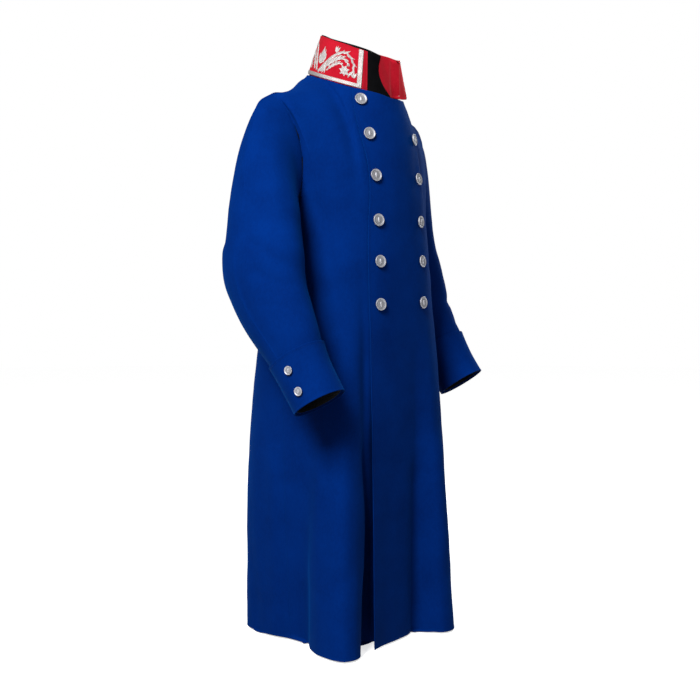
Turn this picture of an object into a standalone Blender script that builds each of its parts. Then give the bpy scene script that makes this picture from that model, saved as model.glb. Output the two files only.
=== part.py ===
"""A long double-breasted wool overcoat with a stand collar, filled out as when worn.

Neck, cuffs and hem are open, and every cloth piece is a thin wall on smooth sections. Metres, +Z up. The coat
faces -Y and the wearer's left side is at +X. The origin lies between the shoulders at the height of the neck,
where the wearer carries the coat.
"""

import math

import bmesh
import bpy
import numpy as np
from mathutils import Matrix, Vector
from mathutils.bvhtree import BVHTree

# Cloth and seams
WALL = 0.002
SEAM_GAP = 0.0006
LAP_GAP = 0.0018
LAP_RISE = WALL + LAP_GAP

# Heights
HEM_Z = -1.140
ARMPIT_Z = -0.300
FOLD_START_Z = -0.470
FOLD_GROWTH = 1.15

# Front edges, as arc lengths from the centre front
OVER_EDGE = -0.087
UNDER_EDGE = -0.058
LAP_FADE = (0.072, 0.120)
OVER_CORNER_Z = -0.014
UNDER_TOP_DROP = 0.007
OVER_TOP_DROP = 0.0030

# How far out the over panel's free edge lies. Each row: height, share of its place at the armpit's height
OVER_EDGE_SHARES = (
    (-0.380, 1.00),
    (-0.300, 0.95),
    (-0.235, 0.86),
    (-0.190, 0.775),
    (-0.150, 0.715),
    (-0.120, 0.70),
    (-0.085, 0.67),
    (-0.050, 0.62),
    (-0.020, 0.60),
)

# Body rings. Each row: height, half width, front depth, back depth, front squareness, back squareness
BODY_SECTIONS = (
    (-0.300, 0.1755, 0.143, 0.136, 2.15, 2.3),
    (-0.360, 0.1770, 0.145, 0.142, 2.40, 2.4),
    (-0.460, 0.1800, 0.146, 0.157, 2.60, 2.4),
    (-0.550, 0.1860, 0.147, 0.178, 2.75, 2.4),
    (-0.660, 0.1930, 0.147, 0.192, 2.80, 2.4),
    (-0.800, 0.1990, 0.147, 0.205, 2.80, 2.4),
    (-1.140, 0.2080, 0.147, 0.210, 2.80, 2.4),
)

# Hem in plan. Each row: x, y, seam that the row lies on
HEM_FOLDS = (
    (-0.075, -0.1400, "over edge"),
    (-0.035, -0.1300, ""),
    (0.005, -0.1250, ""),
    (0.050, -0.1180, ""),
    (0.084, -0.1130, ""),
    (0.101, -0.1360, ""),
    (0.119, -0.1600, ""),
    (0.142, -0.1620, ""),
    (0.166, -0.1470, ""),
    (0.187, -0.1150, ""),
    (0.195, -0.0600, ""),
    (0.206, -0.0120, ""),
    (0.212, 0.0350, "left side"),
    (0.204, 0.0850, ""),
    (0.176, 0.1250, ""),
    (0.163, 0.1700, ""),
    (0.128, 0.2000, ""),
    (0.082, 0.1900, ""),
    (0.030, 0.1980, ""),
    (-0.022, 0.2030, ""),
    (-0.062, 0.1880, ""),
    (-0.100, 0.1990, ""),
    (-0.135, 0.1790, ""),
    (-0.153, 0.1350, ""),
    (-0.153, 0.0850, ""),
    (-0.142, 0.0300, "right side"),
    (-0.142, -0.0100, ""),
    (-0.163, -0.0540, ""),
    (-0.177, -0.0920, ""),
    (-0.178, -0.1220, ""),
    (-0.173, -0.1510, ""),
    (-0.149, -0.1610, ""),
    (-0.122, -0.1510, ""),
    (-0.099, -0.1240, ""),
    (-0.078, -0.1060, ""),
    (-0.030, -0.1030, ""),
    (0.060, -0.1020, "under edge"),
)

# Neck ring, which the collar stands on
NECK_HALF_WIDTH = 0.0955
NECK_HALF_DEPTH = 0.1025
NECK_CENTRE_Y = -0.012
NECK_CENTRE_Z = 0.0050
NECK_TILT_RISE = 0.0400
SHOULDER_NECK_ANGLE = math.radians(98)

# Where the columns of a panel end, as arc lengths from the centre at the armpit's height
FRONT_NECK_SPAN = 0.1015
FRONT_SHOULDER_SPAN = 0.168
BACK_NECK_SPAN = 0.085
BACK_SHOULDER_SPAN = 0.152
SHOULDER_TIP = (0.207, 0.012, -0.041)
SHOULDER_SEAM_SAG = 0.007
NECK_SEAM_TILT = math.radians(28)
# How fully a column bends on its way up to the neck, and up to the shoulder's tip
FRONT_FULLNESS = (0.95, 0.62)
BACK_FULLNESS = (1.15, 1.00)

# Armhole of the left side. Each row: x, y, z, from the shoulder tip to the armpit
ARMHOLE_FRONT = (
    (0.207, 0.012, -0.041),
    (0.197, -0.016, -0.070),
    (0.184, -0.034, -0.115),
    (0.175, -0.042, -0.170),
    (0.172, -0.036, -0.230),
    (0.1745, 0.014, -0.290),
)
ARMHOLE_BACK = (
    (0.207, 0.012, -0.041),
    (0.199, 0.044, -0.075),
    (0.187, 0.068, -0.125),
    (0.179, 0.076, -0.180),
    (0.175, 0.062, -0.240),
    (0.1745, 0.014, -0.290),
)

# The way a column arrives at the armhole. Each row: share of the armhole from its tip, and the parts of the
# direction outward, towards the seam and up
ARMHOLE_ARRIVAL = (
    (0.00, 0.00, 1.00, 0.00),
    (0.15, 0.12, 0.80, 0.45),
    (0.35, 0.12, 0.45, 0.80),
    (0.60, 0.05, 0.22, 0.95),
    (1.00, 0.00, 0.00, 1.00),
)

# Sleeves. Each row: x, y, z of the axis, half width across, half width fore and aft
RIGHT_SLEEVE = (
    (-0.250, -0.013, -0.318, 0.060, 0.087),
    (-0.258, -0.020, -0.375, 0.064, 0.098),
    (-0.261, -0.051, -0.455, 0.058, 0.084),
    (-0.256, -0.092, -0.525, 0.051, 0.068),
    (-0.250, -0.117, -0.572, 0.047, 0.054),
    (-0.237, -0.158, -0.648, 0.045, 0.047),
)
LEFT_SLEEVE = (
    (0.251, 0.055, -0.332, 0.056, 0.071),
    (0.258, 0.046, -0.375, 0.057, 0.072),
    (0.260, 0.019, -0.455, 0.054, 0.066),
    (0.2560, -0.0335, -0.536, 0.051, 0.055),
    (0.265, -0.057, -0.580, 0.048, 0.050),
    (0.275, -0.0815, -0.6225, 0.046, 0.048),
)
SLEEVE_HEAD_REACH = {1.0: 0.58, -1.0: 0.75}
SLEEVE_HEAD_DROP = 0.90
SLEEVE_CAP_LIFT = 0.80
SLEEVE_FOOT_REACH = 0.85

# Hind seam of each sleeve. Each row: share of the sleeve's length, turn from the outer side in degrees
HIND_SEAM = ((0.0, 0.0), (0.3, 4.0), (0.6, -12.0), (1.0, 8.0))
FORE_SEAM = math.radians(157.5)
# Turns beside a seam that its normals are read from, the same for both pieces
SEAM_REACH = np.radians((-30.0, 0.0, 30.0))

# Cuffs
CUFF_HEIGHT = 0.100
CUFF_WALL = 0.0025
CUFF_CLEARANCE = 0.0012
CUFF_OVERHANG = 0.004
CUFF_FLARE = 0.0015

# Collar
COLLAR_HEIGHT = 0.083
COLLAR_SIDE_EXTRA = 0.009
COLLAR_EXTRA_SPAN = (math.radians(30), math.radians(75))
COLLAR_END_ANGLE = math.radians(31)
COLLAR_LEAN = math.radians(19)
COLLAR_LEAN_START = math.radians(20)
COLLAR_LEAN_FULL = math.radians(75)
COLLAR_LIFT = 0.0008
COLLAR_INSET = 0.0005
COLLAR_FLARE_SPAN = math.radians(40)
COLLAR_FLARE = 0.014
LINING_WALL = 0.001
LINING_GAP = 0.0004
LINING_END_ANGLE = math.radians(90)
LINING_END_BOW = math.radians(17)
BRAID_WIDTH = 0.0085
BRAID_RISE = 0.0012
BRAID_GAP = 0.0003
BRAID_FRONT_MARGIN = 0.007
BRAID_FOOT_MARGIN = 0.0015
BRAID_TOP_RISE = (BRAID_FOOT_MARGIN + BRAID_WIDTH) / COLLAR_HEIGHT

# Buttons
FRONT_BUTTON = {"radius": 0.0123, "dome": 0.0022, "rim": 0.0016, "shank": 0.0035, "stand": 0.0025}
CUFF_BUTTON = {"radius": 0.0082, "dome": 0.0015, "rim": 0.0012, "shank": 0.0025, "stand": 0.0018}
BUTTON_GAP = 0.0006
BUTTON_SIDES = 12

# Front buttons. Each row: height, distance of the right column from the centre, of the left column or None
BUTTON_ROWS = (
    (-0.049, 0.0700, None),
    (-0.120, 0.0670, 0.0670),
    (-0.204, 0.0630, 0.0650),
    (-0.293, 0.0620, 0.0640),
    (-0.375, 0.0620, 0.0640),
    (-0.460, 0.0630, 0.0640),
)
LEFT_COLUMN_RISE = 0.008

# Cuff buttons: shares of the cuff's height from its upper edge, and their turn from the outer side
CUFF_BUTTON_SHARES = (0.30, 0.72)
CUFF_BUTTON_TURN = math.radians(14)

# Grid sizes
LAP_STEP = 0.0145
BACK_NECK_COLUMNS = 3
SHOULDER_COLUMNS = 4
ARMHOLE_COLUMNS = 8
SKIRT_ROWS = 10
CHEST_ROWS = 14
SKIRT_SHARE = 0.74
SLEEVE_ROWS = 14
CUFF_COLUMNS = 28
CUFF_ROWS = 3
COLLAR_COLUMNS = 28
COLLAR_ROWS = 3

CLOTH_BLUE = ("blue wool", (0.002, 0.024, 0.24), 0.85, 0.0)
COLLAR_RED = ("red wool", (0.60, 0.008, 0.025), 0.8, 0.0)
LINING_BLACK = ("black lining", (0.004, 0.004, 0.005), 0.6, 0.0)
SILVER = ("silver", (0.72, 0.71, 0.70), 0.35, 1.0)
SILVER_BRAID = ("silver braid", (0.75, 0.73, 0.70), 0.5, 0.6)


def clear_scene():
    for item in list(bpy.data.objects):
        bpy.data.objects.remove(item, do_unlink=True)


def material(finish):
    name, colour, roughness, metallic = finish
    made = bpy.data.materials.get(name)
    if made is None:
        made = bpy.data.materials.new(name)
        made.use_nodes = True
        shader = made.node_tree.nodes["Principled BSDF"]
        shader.inputs["Base Color"].default_value = (*colour, 1.0)
        shader.inputs["Roughness"].default_value = roughness
        shader.inputs["Metallic"].default_value = metallic
    return made


def hermite(start, end, leave, arrive, share):
    """A point at the share of a cubic from start to end, with its tangents at both ends."""
    share = np.asarray(share)[..., None]
    square, cube = share**2, share**3
    return (
        (2 * cube - 3 * square + 1) * start
        + (cube - 2 * square + share) * leave
        + (3 * square - 2 * cube) * end
        + (cube - square) * arrive
    )


def through(knots, rows, at):
    """Values of the rows at the places, on a smooth curve that passes every row at its knot."""
    knots = np.asarray(knots, float)
    rows = np.asarray(rows, float)
    at = np.clip(np.asarray(at, float), knots[0], knots[-1])
    slopes = np.gradient(rows, knots, axis=0)
    index = np.clip(np.searchsorted(knots, at, side="right") - 1, 0, len(knots) - 2)
    span = knots[index + 1] - knots[index]
    scale = np.asarray(span)[..., None]
    leave, arrive = slopes[index] * scale, slopes[index + 1] * scale
    return hermite(rows[index], rows[index + 1], leave, arrive, (at - knots[index]) / span)


def chords(points):
    steps = np.linalg.norm(np.diff(np.asarray(points, float), axis=0), axis=1)
    return np.concatenate([[0.0], np.cumsum(steps)])


def smooth_step(low, high, value):
    share = np.clip((value - low) / (high - low), 0.0, 1.0)
    return share * share * (3 - 2 * share)


def neck_point(angle):
    """A point of the neck ring. The angle runs from the centre front towards the wearer's left."""
    return np.array((
        NECK_HALF_WIDTH * math.sin(angle),
        NECK_CENTRE_Y - NECK_HALF_DEPTH * math.cos(angle),
        NECK_CENTRE_Z - NECK_TILT_RISE * math.cos(angle),
    ))


def half_section(height, back):
    """The quarter ring of the body at a height, from the centre to the left side, as a dense path."""
    sections = np.asarray(BODY_SECTIONS)[::-1]
    half_width, front, rear, front_square, back_square = through(sections[:, 0], sections[:, 1:], height)
    depth, square = (rear, back_square) if back else (-front, front_square)
    turn = np.linspace(0, math.pi / 2, 61)
    path = np.stack([half_width * np.sin(turn) ** (2 / square), depth * np.cos(turn) ** (2 / square)], axis=1)
    return chords(path), path


def section_point(height, span, back):
    """The plan position at an arc length from the centre; a negative one lies on the wearer's right."""
    lengths, path = half_section(height, back)
    side = -1.0 if span < 0 else 1.0
    reach = min(abs(span), lengths[-1])
    return np.array((side * np.interp(reach, lengths, path[:, 0]), np.interp(reach, lengths, path[:, 1])))


def section_length(height, back):
    return half_section(height, back)[0][-1]


def hem_span(first, last, shares):
    """Plan positions at shares of the hem between two of its seams."""
    marks = [row[2] for row in HEM_FOLDS]
    plan = np.array([row[:2] for row in HEM_FOLDS])
    knots = chords(plan)
    start, stop = knots[marks.index(first)], knots[marks.index(last)]
    return through(knots, plan, start + (stop - start) * np.asarray(shares))


def top_spans(back):
    """The arc lengths at which the neck and the shoulder of a panel end."""
    return (BACK_NECK_SPAN, BACK_SHOULDER_SPAN) if back else (FRONT_NECK_SPAN, FRONT_SHOULDER_SPAN)


def panel_top(span, back):
    """Where a column that leaves the armpit's height at this span ends, and the way it arrives there."""
    neck_span, shoulder_span = top_spans(back)
    full, slight = BACK_FULLNESS if back else FRONT_FULLNESS
    side_span = section_length(ARMPIT_Z, back)
    toward = -1.0 if back else 1.0
    if span <= neck_span:
        share = span / neck_span
        middle = math.pi if back else 0.0
        turn = middle + (SHOULDER_NECK_ANGLE - middle) * share
        level = smooth_step(0.35, 1.0, share)
        inward = -0.35 * math.sin(math.pi * share)
        steep = np.array((inward, toward * 0.24, 0.95))
        over = np.array((0.0, toward * math.cos(NECK_SEAM_TILT), toward * math.sin(NECK_SEAM_TILT)))
        return neck_point(turn), (steep * (1 - level) + over * level) * full
    seam_start = neck_point(SHOULDER_NECK_ANGLE)
    tip = np.array(SHOULDER_TIP)
    if span <= shoulder_span:
        share = (span - neck_span) / (shoulder_span - neck_span)
        end = seam_start + (tip - seam_start) * share
        end[2] -= SHOULDER_SEAM_SAG * math.sin(math.pi * share)
        tilt = NECK_SEAM_TILT * (1 - share) ** 2
        fullness = full + (slight - full) * smooth_step(0.0, 1.0, share)
        return end, np.array((0.0, toward * math.cos(tilt), toward * math.sin(tilt))) * fullness
    share = (span - shoulder_span) / (side_span - shoulder_span)
    end = armhole_loop([math.pi * (2 - share) if back else math.pi * share], 1.0)[0]
    arrival = np.asarray(ARMHOLE_ARRIVAL)
    return end, through(arrival[:, 0], arrival[:, 1:], share) * (1.0, toward, 1.0) * slight


def shoulder_normals(grid, normal, spans, back):
    """The normals with those along the shoulder seam made the same for the front and the back."""
    neck_span, shoulder_span = top_spans(back)
    drop = neck_point(SHOULDER_NECK_ANGLE)[2] - SHOULDER_TIP[2]
    run = SHOULDER_TIP[0] - NECK_HALF_WIDTH
    normal = normal.copy()
    for column, span in enumerate(spans):
        if neck_span - 1e-9 <= abs(span) <= shoulder_span + 1e-9:
            tilt = NECK_SEAM_TILT * ((shoulder_span - abs(span)) / (shoulder_span - neck_span)) ** 2
            side = math.copysign(1.0, grid[-1, column, 0])
            facing = np.array((side * drop, -math.sin(tilt) * run, math.cos(tilt) * run))
            normal[-1, column] = facing / np.linalg.norm(facing)
    return normal


def upper_column(span, back, shares):
    """Points of a column from the armpit's height to the top edge, for a span of either sign."""
    side = -1.0 if span < 0 else 1.0
    start = np.array((*section_point(ARMPIT_Z, abs(span), back), ARMPIT_Z))
    end, arrive = panel_top(abs(span), back)
    reach = np.linalg.norm(end - start)
    points = hermite(start, end, np.array((0.0, 0.0, reach)), arrive * reach, shares)
    points[:, 0] *= side
    return points


def front_spans(edge_span):
    """Arc lengths of a front's columns at the armpit's height: lap and neck, shoulder and armhole."""
    side_span = section_length(ARMPIT_Z, False)
    neck = np.linspace(edge_span, FRONT_NECK_SPAN, round((FRONT_NECK_SPAN - edge_span) / LAP_STEP) + 1)
    shoulder = np.linspace(FRONT_NECK_SPAN, FRONT_SHOULDER_SPAN, SHOULDER_COLUMNS + 1)
    armhole = np.linspace(FRONT_SHOULDER_SPAN, side_span, ARMHOLE_COLUMNS + 1)
    return np.concatenate([neck, shoulder[1:], armhole[1:]])


def back_spans():
    """Arc lengths of the back's columns at the armpit's height, from the left side seam to the right one."""
    side_span = section_length(ARMPIT_Z, True)
    neck = np.linspace(0.0, BACK_NECK_SPAN, BACK_NECK_COLUMNS + 1)
    shoulder = np.linspace(BACK_NECK_SPAN, BACK_SHOULDER_SPAN, SHOULDER_COLUMNS + 1)
    armhole = np.linspace(BACK_SHOULDER_SPAN, side_span, ARMHOLE_COLUMNS + 1)
    half = np.concatenate([neck, shoulder[1:], armhole[1:]])
    return np.concatenate([half[::-1], -half[1:]])


def lower_column(share, edge_span, seams, back, heights):
    """Points of a column below the armpit: the plain ring, which turns into the hem's folds."""
    hem_plan = hem_span(seams[0], seams[1], [share])[0]
    mirror = -1.0 if seams[0] == "under edge" else 1.0
    points = []
    for height in heights:
        side_span = section_length(height, back)
        span = edge_span + (side_span - edge_span) * share
        if back:
            span = side_span * (1 - 2 * share)
        plan = section_point(height, span, back) * (mirror, 1.0)
        growth = np.clip((FOLD_START_Z - height) / (FOLD_START_Z - HEM_Z), 0.0, 1.0) ** FOLD_GROWTH
        points.append((*(plan + (hem_plan - plan) * growth), height))
    return np.array(points)


def trimmed(points, top):
    """The points of a rising column below a height, with its last point on it."""
    below = points[:, 2] < top
    if below.all():
        return points
    last = int(np.argmin(below))
    first, second = points[last - 1], points[last]
    share = (top - first[2]) / (second[2] - first[2])
    return np.vstack([points[:last], first + (second - first) * share])


def body_rows(points):
    """The points of a column at the rows of the body's grids, which lie closer together from the chest up."""
    lengths = chords(points)
    skirt = np.linspace(0, SKIRT_SHARE, SKIRT_ROWS + 1)
    chest = np.linspace(SKIRT_SHARE, 1, CHEST_ROWS + 1)
    at = np.concatenate([skirt, chest[1:]]) * lengths[-1]
    return np.stack([np.interp(at, lengths, points[:, axis]) for axis in range(3)], axis=1)


def normals_of(grid):
    """Normals at the points of a grid, from the faces round each point."""
    first, second = grid[1:, 1:] - grid[:-1, :-1], grid[1:, :-1] - grid[:-1, 1:]
    faces = np.cross(first, second)
    total = np.zeros_like(grid)
    for rows, columns in ((slice(1, None), slice(1, None)), (slice(1, None), slice(None, -1))):
        total[rows, columns] += faces
        total[:-1, columns] += faces
    return total / np.maximum(np.linalg.norm(total, axis=2, keepdims=True), 1e-12)


def front_grid(left):
    """The outer points of a front, from its free edge to its side seam and from the hem to the top."""
    edge_span = OVER_EDGE if left else UNDER_EDGE
    seams = ("over edge", "left side") if left else ("under edge", "right side")
    mirror = 1.0 if left else -1.0
    heights = np.linspace(HEM_Z, ARMPIT_Z, 50)
    spans = front_spans(edge_span)
    centre_z = neck_point(0.0)[2]
    grid = []
    for span in spans:
        share = (span - edge_span) / (spans[-1] - edge_span)
        lower = lower_column(share, edge_span, seams, False, heights)
        upper = upper_column(span, False, np.linspace(0, 1, 41)[1:]) * (mirror, 1.0, 1.0)
        path = np.vstack([lower, upper])
        if left and span < 0:
            path = trimmed(path, centre_z + (OVER_CORNER_Z - centre_z) * (span / edge_span) ** 1.2)
        if left and 0 <= span < FRONT_NECK_SPAN:
            path = trimmed(path, path[-1][2] - OVER_TOP_DROP * (1 - smooth_step(*LAP_FADE, span)))
        if not left and span < FRONT_NECK_SPAN / 2:
            drop = UNDER_TOP_DROP * (1 - smooth_step(0.0, FRONT_NECK_SPAN / 2, span))
            path = trimmed(path, path[-1][2] - drop)
        grid.append(body_rows(path))
    grid = np.array(grid).transpose(1, 0, 2)
    if left:
        grid = drawn_in(grid, spans)
        rise = LAP_RISE * (1 - smooth_step(*LAP_FADE, spans))
        grid = grid + normals_of(grid) * rise[None, :, None]
    return seam_inset(grid, toward=-1.0, columns=(-1,))


def drawn_in(grid, spans):
    """The over panel with its lap narrowed row by row, so that its free edge runs as cut."""
    shares = np.asarray(OVER_EDGE_SHARES)
    made = grid.copy()
    lap = spans < 0
    for row, points in enumerate(grid):
        share = np.interp(points[0, 2], shares[:, 0], shares[:, 1])
        made[row, lap] = through(spans, points, spans[lap] * share)
    return made


def back_grid():
    """The outer points of the back, from the left side seam to the right one."""
    heights = np.linspace(HEM_Z, ARMPIT_Z, 50)
    spans = back_spans()
    grid = []
    for span in spans:
        share = (1 - span / spans[0]) / 2
        lower = lower_column(share, 0.0, ("left side", "right side"), True, heights)
        upper = upper_column(span, True, np.linspace(0, 1, 41)[1:])
        grid.append(body_rows(np.vstack([lower, upper])))
    grid = np.array(grid).transpose(1, 0, 2)
    return seam_inset(grid, toward=1.0, columns=(0, -1))


def seam_inset(grid, toward, columns):
    """Draws the side and top edges of a panel back by half of the seam's gap."""
    grid = grid.copy()
    for column in columns:
        grid[:, column, 1] += toward * SEAM_GAP / 2
    high = grid[-1, :, 2] > ARMPIT_Z
    grid[-1, high, 1] += toward * SEAM_GAP / 2
    return grid


def armhole_loop(turns, side):
    """Points of the armhole at turns from its top: a quarter turn is its front and a half turn the armpit."""
    front = np.asarray(ARMHOLE_FRONT)
    back = np.asarray(ARMHOLE_BACK)[::-1]
    loop = np.vstack([front, back[1:]])
    knots = np.concatenate([
        chords(front) / chords(front)[-1] * math.pi,
        math.pi + chords(back)[1:] / chords(back)[-1] * math.pi,
    ])
    points = through(knots, loop, np.mod(turns, 2 * math.pi))
    return points * (side, 1.0, 1.0)


def sleeve_frames(table, share):
    """The axis point, its direction, and both half widths at a share of a sleeve's straight run."""
    rows = np.asarray(table)
    knots = chords(rows[:, :3]) / chords(rows[:, :3])[-1]
    here = through(knots, rows, share)
    ahead = through(knots, rows, min(share + 0.01, 1.0))
    behind = through(knots, rows, max(share - 0.01, 0.0))
    direction = ahead[:3] - behind[:3]
    return here[:3], direction / np.linalg.norm(direction), here[3], here[4]


def sleeve_ring(table, share, turns, side, grow=0.0):
    """A ring of the sleeve at a share of its run, grown by an allowance. Turns start at the outer side."""
    centre, direction, across, fore = sleeve_frames(table, share)
    outward = np.array((side, 0.0, 0.0))
    outward = outward - direction * outward.dot(direction)
    outward /= np.linalg.norm(outward)
    forward = np.cross(direction, outward) * side
    forward *= -1.0 if forward[1] > 0 else 1.0
    turns = np.asarray(turns)[:, None]
    return centre + (across + grow) * np.cos(turns) * outward + (fore + grow) * np.sin(turns) * forward


def sleeve_grid(table, side, turns_at, rows):
    """The outer points of one piece of a sleeve, from the armhole to the wrist."""
    length = chords(np.asarray(table)[:, :3])[-1]
    head_rows = max(3, round(rows * 0.36))
    grid = []
    for row in range(head_rows):
        share = row / head_rows
        turns = turns_at(0.35 * share)
        start = armhole_loop(turns, side)
        end = sleeve_ring(table, 0.0, turns, side)
        direction = sleeve_frames(table, 0.0)[1]
        reach = np.linalg.norm(end - start, axis=1)[:, None]
        fall = SLEEVE_CAP_LIFT * (1 + np.cos(turns)) / 2 - SLEEVE_HEAD_DROP
        leave = np.stack([np.full(len(turns), side), np.zeros(len(turns)), fall], axis=1)
        leave /= np.linalg.norm(leave, axis=1)[:, None]
        start = start + leave * SEAM_GAP
        points = [
            hermite(a, b, c * r * SLEEVE_HEAD_REACH[side], direction * r * SLEEVE_FOOT_REACH, share)
            for a, b, c, r in zip(start, end, leave, reach)
        ]
        grid.append(np.array(points))
    run_rows = rows - head_rows
    for row in range(run_rows + 1):
        share = row / run_rows * (1 - CUFF_OVERHANG / length)
        grid.append(sleeve_ring(table, share, turns_at(0.35 + 0.65 * share), side))
    return np.array(grid)


def hind_turn(share):
    seam = np.asarray(HIND_SEAM)
    return math.radians(float(through(seam[:, 0], seam[:, 1:], share)[0]))


def spread_turns(first, last, columns):
    """Turns of a piece's columns between two seams, with one more column past each seam for its normals."""
    step = (last - first) / columns
    return first + step * np.arange(-1, columns + 2)


def upper_turns(share):
    return spread_turns(hind_turn(share), FORE_SEAM, 7)


def under_turns(share):
    return spread_turns(FORE_SEAM, 2 * math.pi + hind_turn(share), 9)


def cuff_turns():
    step = 2 * math.pi / CUFF_COLUMNS
    return step * np.arange(-1, CUFF_COLUMNS + 1)


def cuff_grid(table, side):
    """The outer points of a cuff, which wraps the end of the sleeve."""
    length = chords(np.asarray(table)[:, :3])[-1]
    grid = []
    for row in range(CUFF_ROWS + 1):
        share = 1 - (CUFF_HEIGHT / length) * (1 - row / CUFF_ROWS)
        grow = CUFF_CLEARANCE + CUFF_WALL + CUFF_FLARE * (row / CUFF_ROWS)
        grid.append(sleeve_ring(table, share, cuff_turns(), side, grow))
    return np.array(grid)


def collar_point(angle, rise, outward=0.0):
    """A point of the collar's outer face. The angle runs from the centre front round by the left."""
    foot = neck_point(angle)
    radial = np.array((math.sin(angle) * NECK_HALF_DEPTH, -math.cos(angle) * NECK_HALF_WIDTH, 0.0))
    radial /= np.linalg.norm(radial)
    from_front = min(angle, 2 * math.pi - angle)
    lean = COLLAR_LEAN * smooth_step(COLLAR_LEAN_START, COLLAR_LEAN_FULL, from_front)
    near_end = 1 - smooth_step(0.0, COLLAR_FLARE_SPAN, angle - COLLAR_END_ANGLE)
    flare = COLLAR_FLARE * near_end * (1 - 0.85 * rise)
    up = np.array((0.0, 0.0, math.cos(lean))) - radial * math.sin(lean)
    normal = radial * math.cos(lean) + np.array((0.0, 0.0, math.sin(lean)))
    extra = COLLAR_SIDE_EXTRA * math.sin(angle) ** 2 * smooth_step(*COLLAR_EXTRA_SPAN, from_front)
    height = COLLAR_LIFT + COLLAR_HEIGHT * rise + extra * max(rise - BRAID_TOP_RISE, 0.0)
    return foot + up * height + radial * flare + normal * (outward - COLLAR_INSET)


def collar_angles():
    """Turns of the collar's columns: both ends have one at each side of the braid."""
    radius = (NECK_HALF_WIDTH + NECK_HALF_DEPTH) / 2
    margin, width = BRAID_FRONT_MARGIN / radius, BRAID_WIDTH / radius
    start = COLLAR_END_ANGLE
    inner = start + margin + width
    middle = np.linspace(inner, 2 * math.pi - inner, COLLAR_COLUMNS + 1)
    ends = np.array((start, start + margin))
    return np.concatenate([ends, middle, 2 * math.pi - ends[::-1]])


def collar_rises():
    """Shares of the collar's height at its rows: one at each side of the braid along its foot."""
    low = BRAID_FOOT_MARGIN / COLLAR_HEIGHT
    high = low + BRAID_WIDTH / COLLAR_HEIGHT
    return np.concatenate([(0.0, low), np.linspace(high, 1.0, COLLAR_ROWS + 1)])


def collar_grid(angles, rises, outward):
    """Points of a stretch of the collar at these turns and shares of its height, moved outward."""
    return np.array([[collar_point(angle, rise, outward) for angle in angles] for rise in rises])


def lining_grid():
    """Points of the lining inside the collar, whose ends bow towards the back."""
    angles = collar_angles()
    grid = []
    for rise in np.linspace(0.0, 1.0, 7):
        end = LINING_END_ANGLE - LINING_END_BOW * (2 * rise - 1) ** 2
        inner = [angle for angle in angles if LINING_END_ANGLE < angle < 2 * math.pi - LINING_END_ANGLE]
        turns = [end, *inner, 2 * math.pi - end]
        grid.append([collar_point(angle, rise, -WALL - LINING_GAP) for angle in turns])
    return np.array(grid)


def cloth_wall(name, outer, inner, finish, ring=False):
    """One cloth piece between its outer and inner points; a ring's last column meets its first."""
    rows, columns = outer.shape[:2]
    mesh = bmesh.new()
    faces = [[[mesh.verts.new(point) for point in row] for row in side] for side in (outer, inner)]
    across = [(c, (c + 1) % columns) for c in range(columns if ring else columns - 1)]
    front, rear = faces
    for r in range(rows - 1):
        for c, d in across:
            mesh.faces.new((front[r][c], front[r][d], front[r + 1][d], front[r + 1][c]))
            mesh.faces.new((rear[r][d], rear[r][c], rear[r + 1][c], rear[r + 1][d]))
    for c, d in across:
        mesh.faces.new((front[0][d], front[0][c], rear[0][c], rear[0][d]))
        mesh.faces.new((front[-1][c], front[-1][d], rear[-1][d], rear[-1][c]))
    for r in range(0 if ring else rows - 1):
        mesh.faces.new((front[r][0], front[r + 1][0], rear[r + 1][0], rear[r][0]))
        mesh.faces.new((front[r + 1][-1], front[r][-1], rear[r][-1], rear[r + 1][-1]))
    bmesh.ops.recalc_face_normals(mesh, faces=mesh.faces)
    data = bpy.data.meshes.new(name)
    mesh.to_mesh(data)
    mesh.free()
    data.materials.append(material(finish))
    data.shade_smooth()
    data.set_sharp_from_angle(angle=math.radians(40))
    piece = bpy.data.objects.new(name, data)
    bpy.context.scene.collection.objects.link(piece)
    return piece


def outward_normals(grid, axis):
    """Normals of a grid, all on the side that faces away from an axis or from points along it."""
    normal = normals_of(grid)
    return normal if (normal * (grid - axis)).sum() > 0 else -normal


def button(name, sizes, foot, normal, finish):
    """A domed button on a shank, its axis along the cloth's normal."""
    radius, dome, rim = sizes["radius"], sizes["dome"], sizes["rim"]
    shank, stand = sizes["shank"], sizes["stand"]
    profile = (
        (0.0, BUTTON_GAP),
        (shank, BUTTON_GAP),
        (shank, stand),
        (radius * 0.96, stand),
        (radius, stand + rim * 0.5),
        (radius * 0.93, stand + rim),
        (radius * 0.60, stand + rim + dome * 0.68),
        (0.0, stand + rim + dome),
    )
    mesh = bmesh.new()
    verts = [mesh.verts.new((across, 0.0, height)) for across, height in profile]
    edges = [mesh.edges.new(pair) for pair in zip(verts, verts[1:])]
    bmesh.ops.spin(
        mesh,
        geom=verts + edges,
        cent=(0, 0, 0),
        axis=(0, 0, 1),
        angle=2 * math.pi,
        steps=BUTTON_SIDES,
        use_merge=True,
    )
    bmesh.ops.remove_doubles(mesh, verts=mesh.verts, dist=1e-6)
    bmesh.ops.recalc_face_normals(mesh, faces=mesh.faces)
    data = bpy.data.meshes.new(name)
    mesh.to_mesh(data)
    mesh.free()
    data.materials.append(material(finish))
    data.shade_smooth()
    data.set_sharp_from_angle(angle=math.radians(40))
    piece = bpy.data.objects.new(name, data)
    turn = Vector(normal).to_track_quat("Z", "Y").to_matrix().to_4x4()
    piece.matrix_world = Matrix.Translation(Vector(foot)) @ turn
    bpy.context.scene.collection.objects.link(piece)
    return piece


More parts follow.
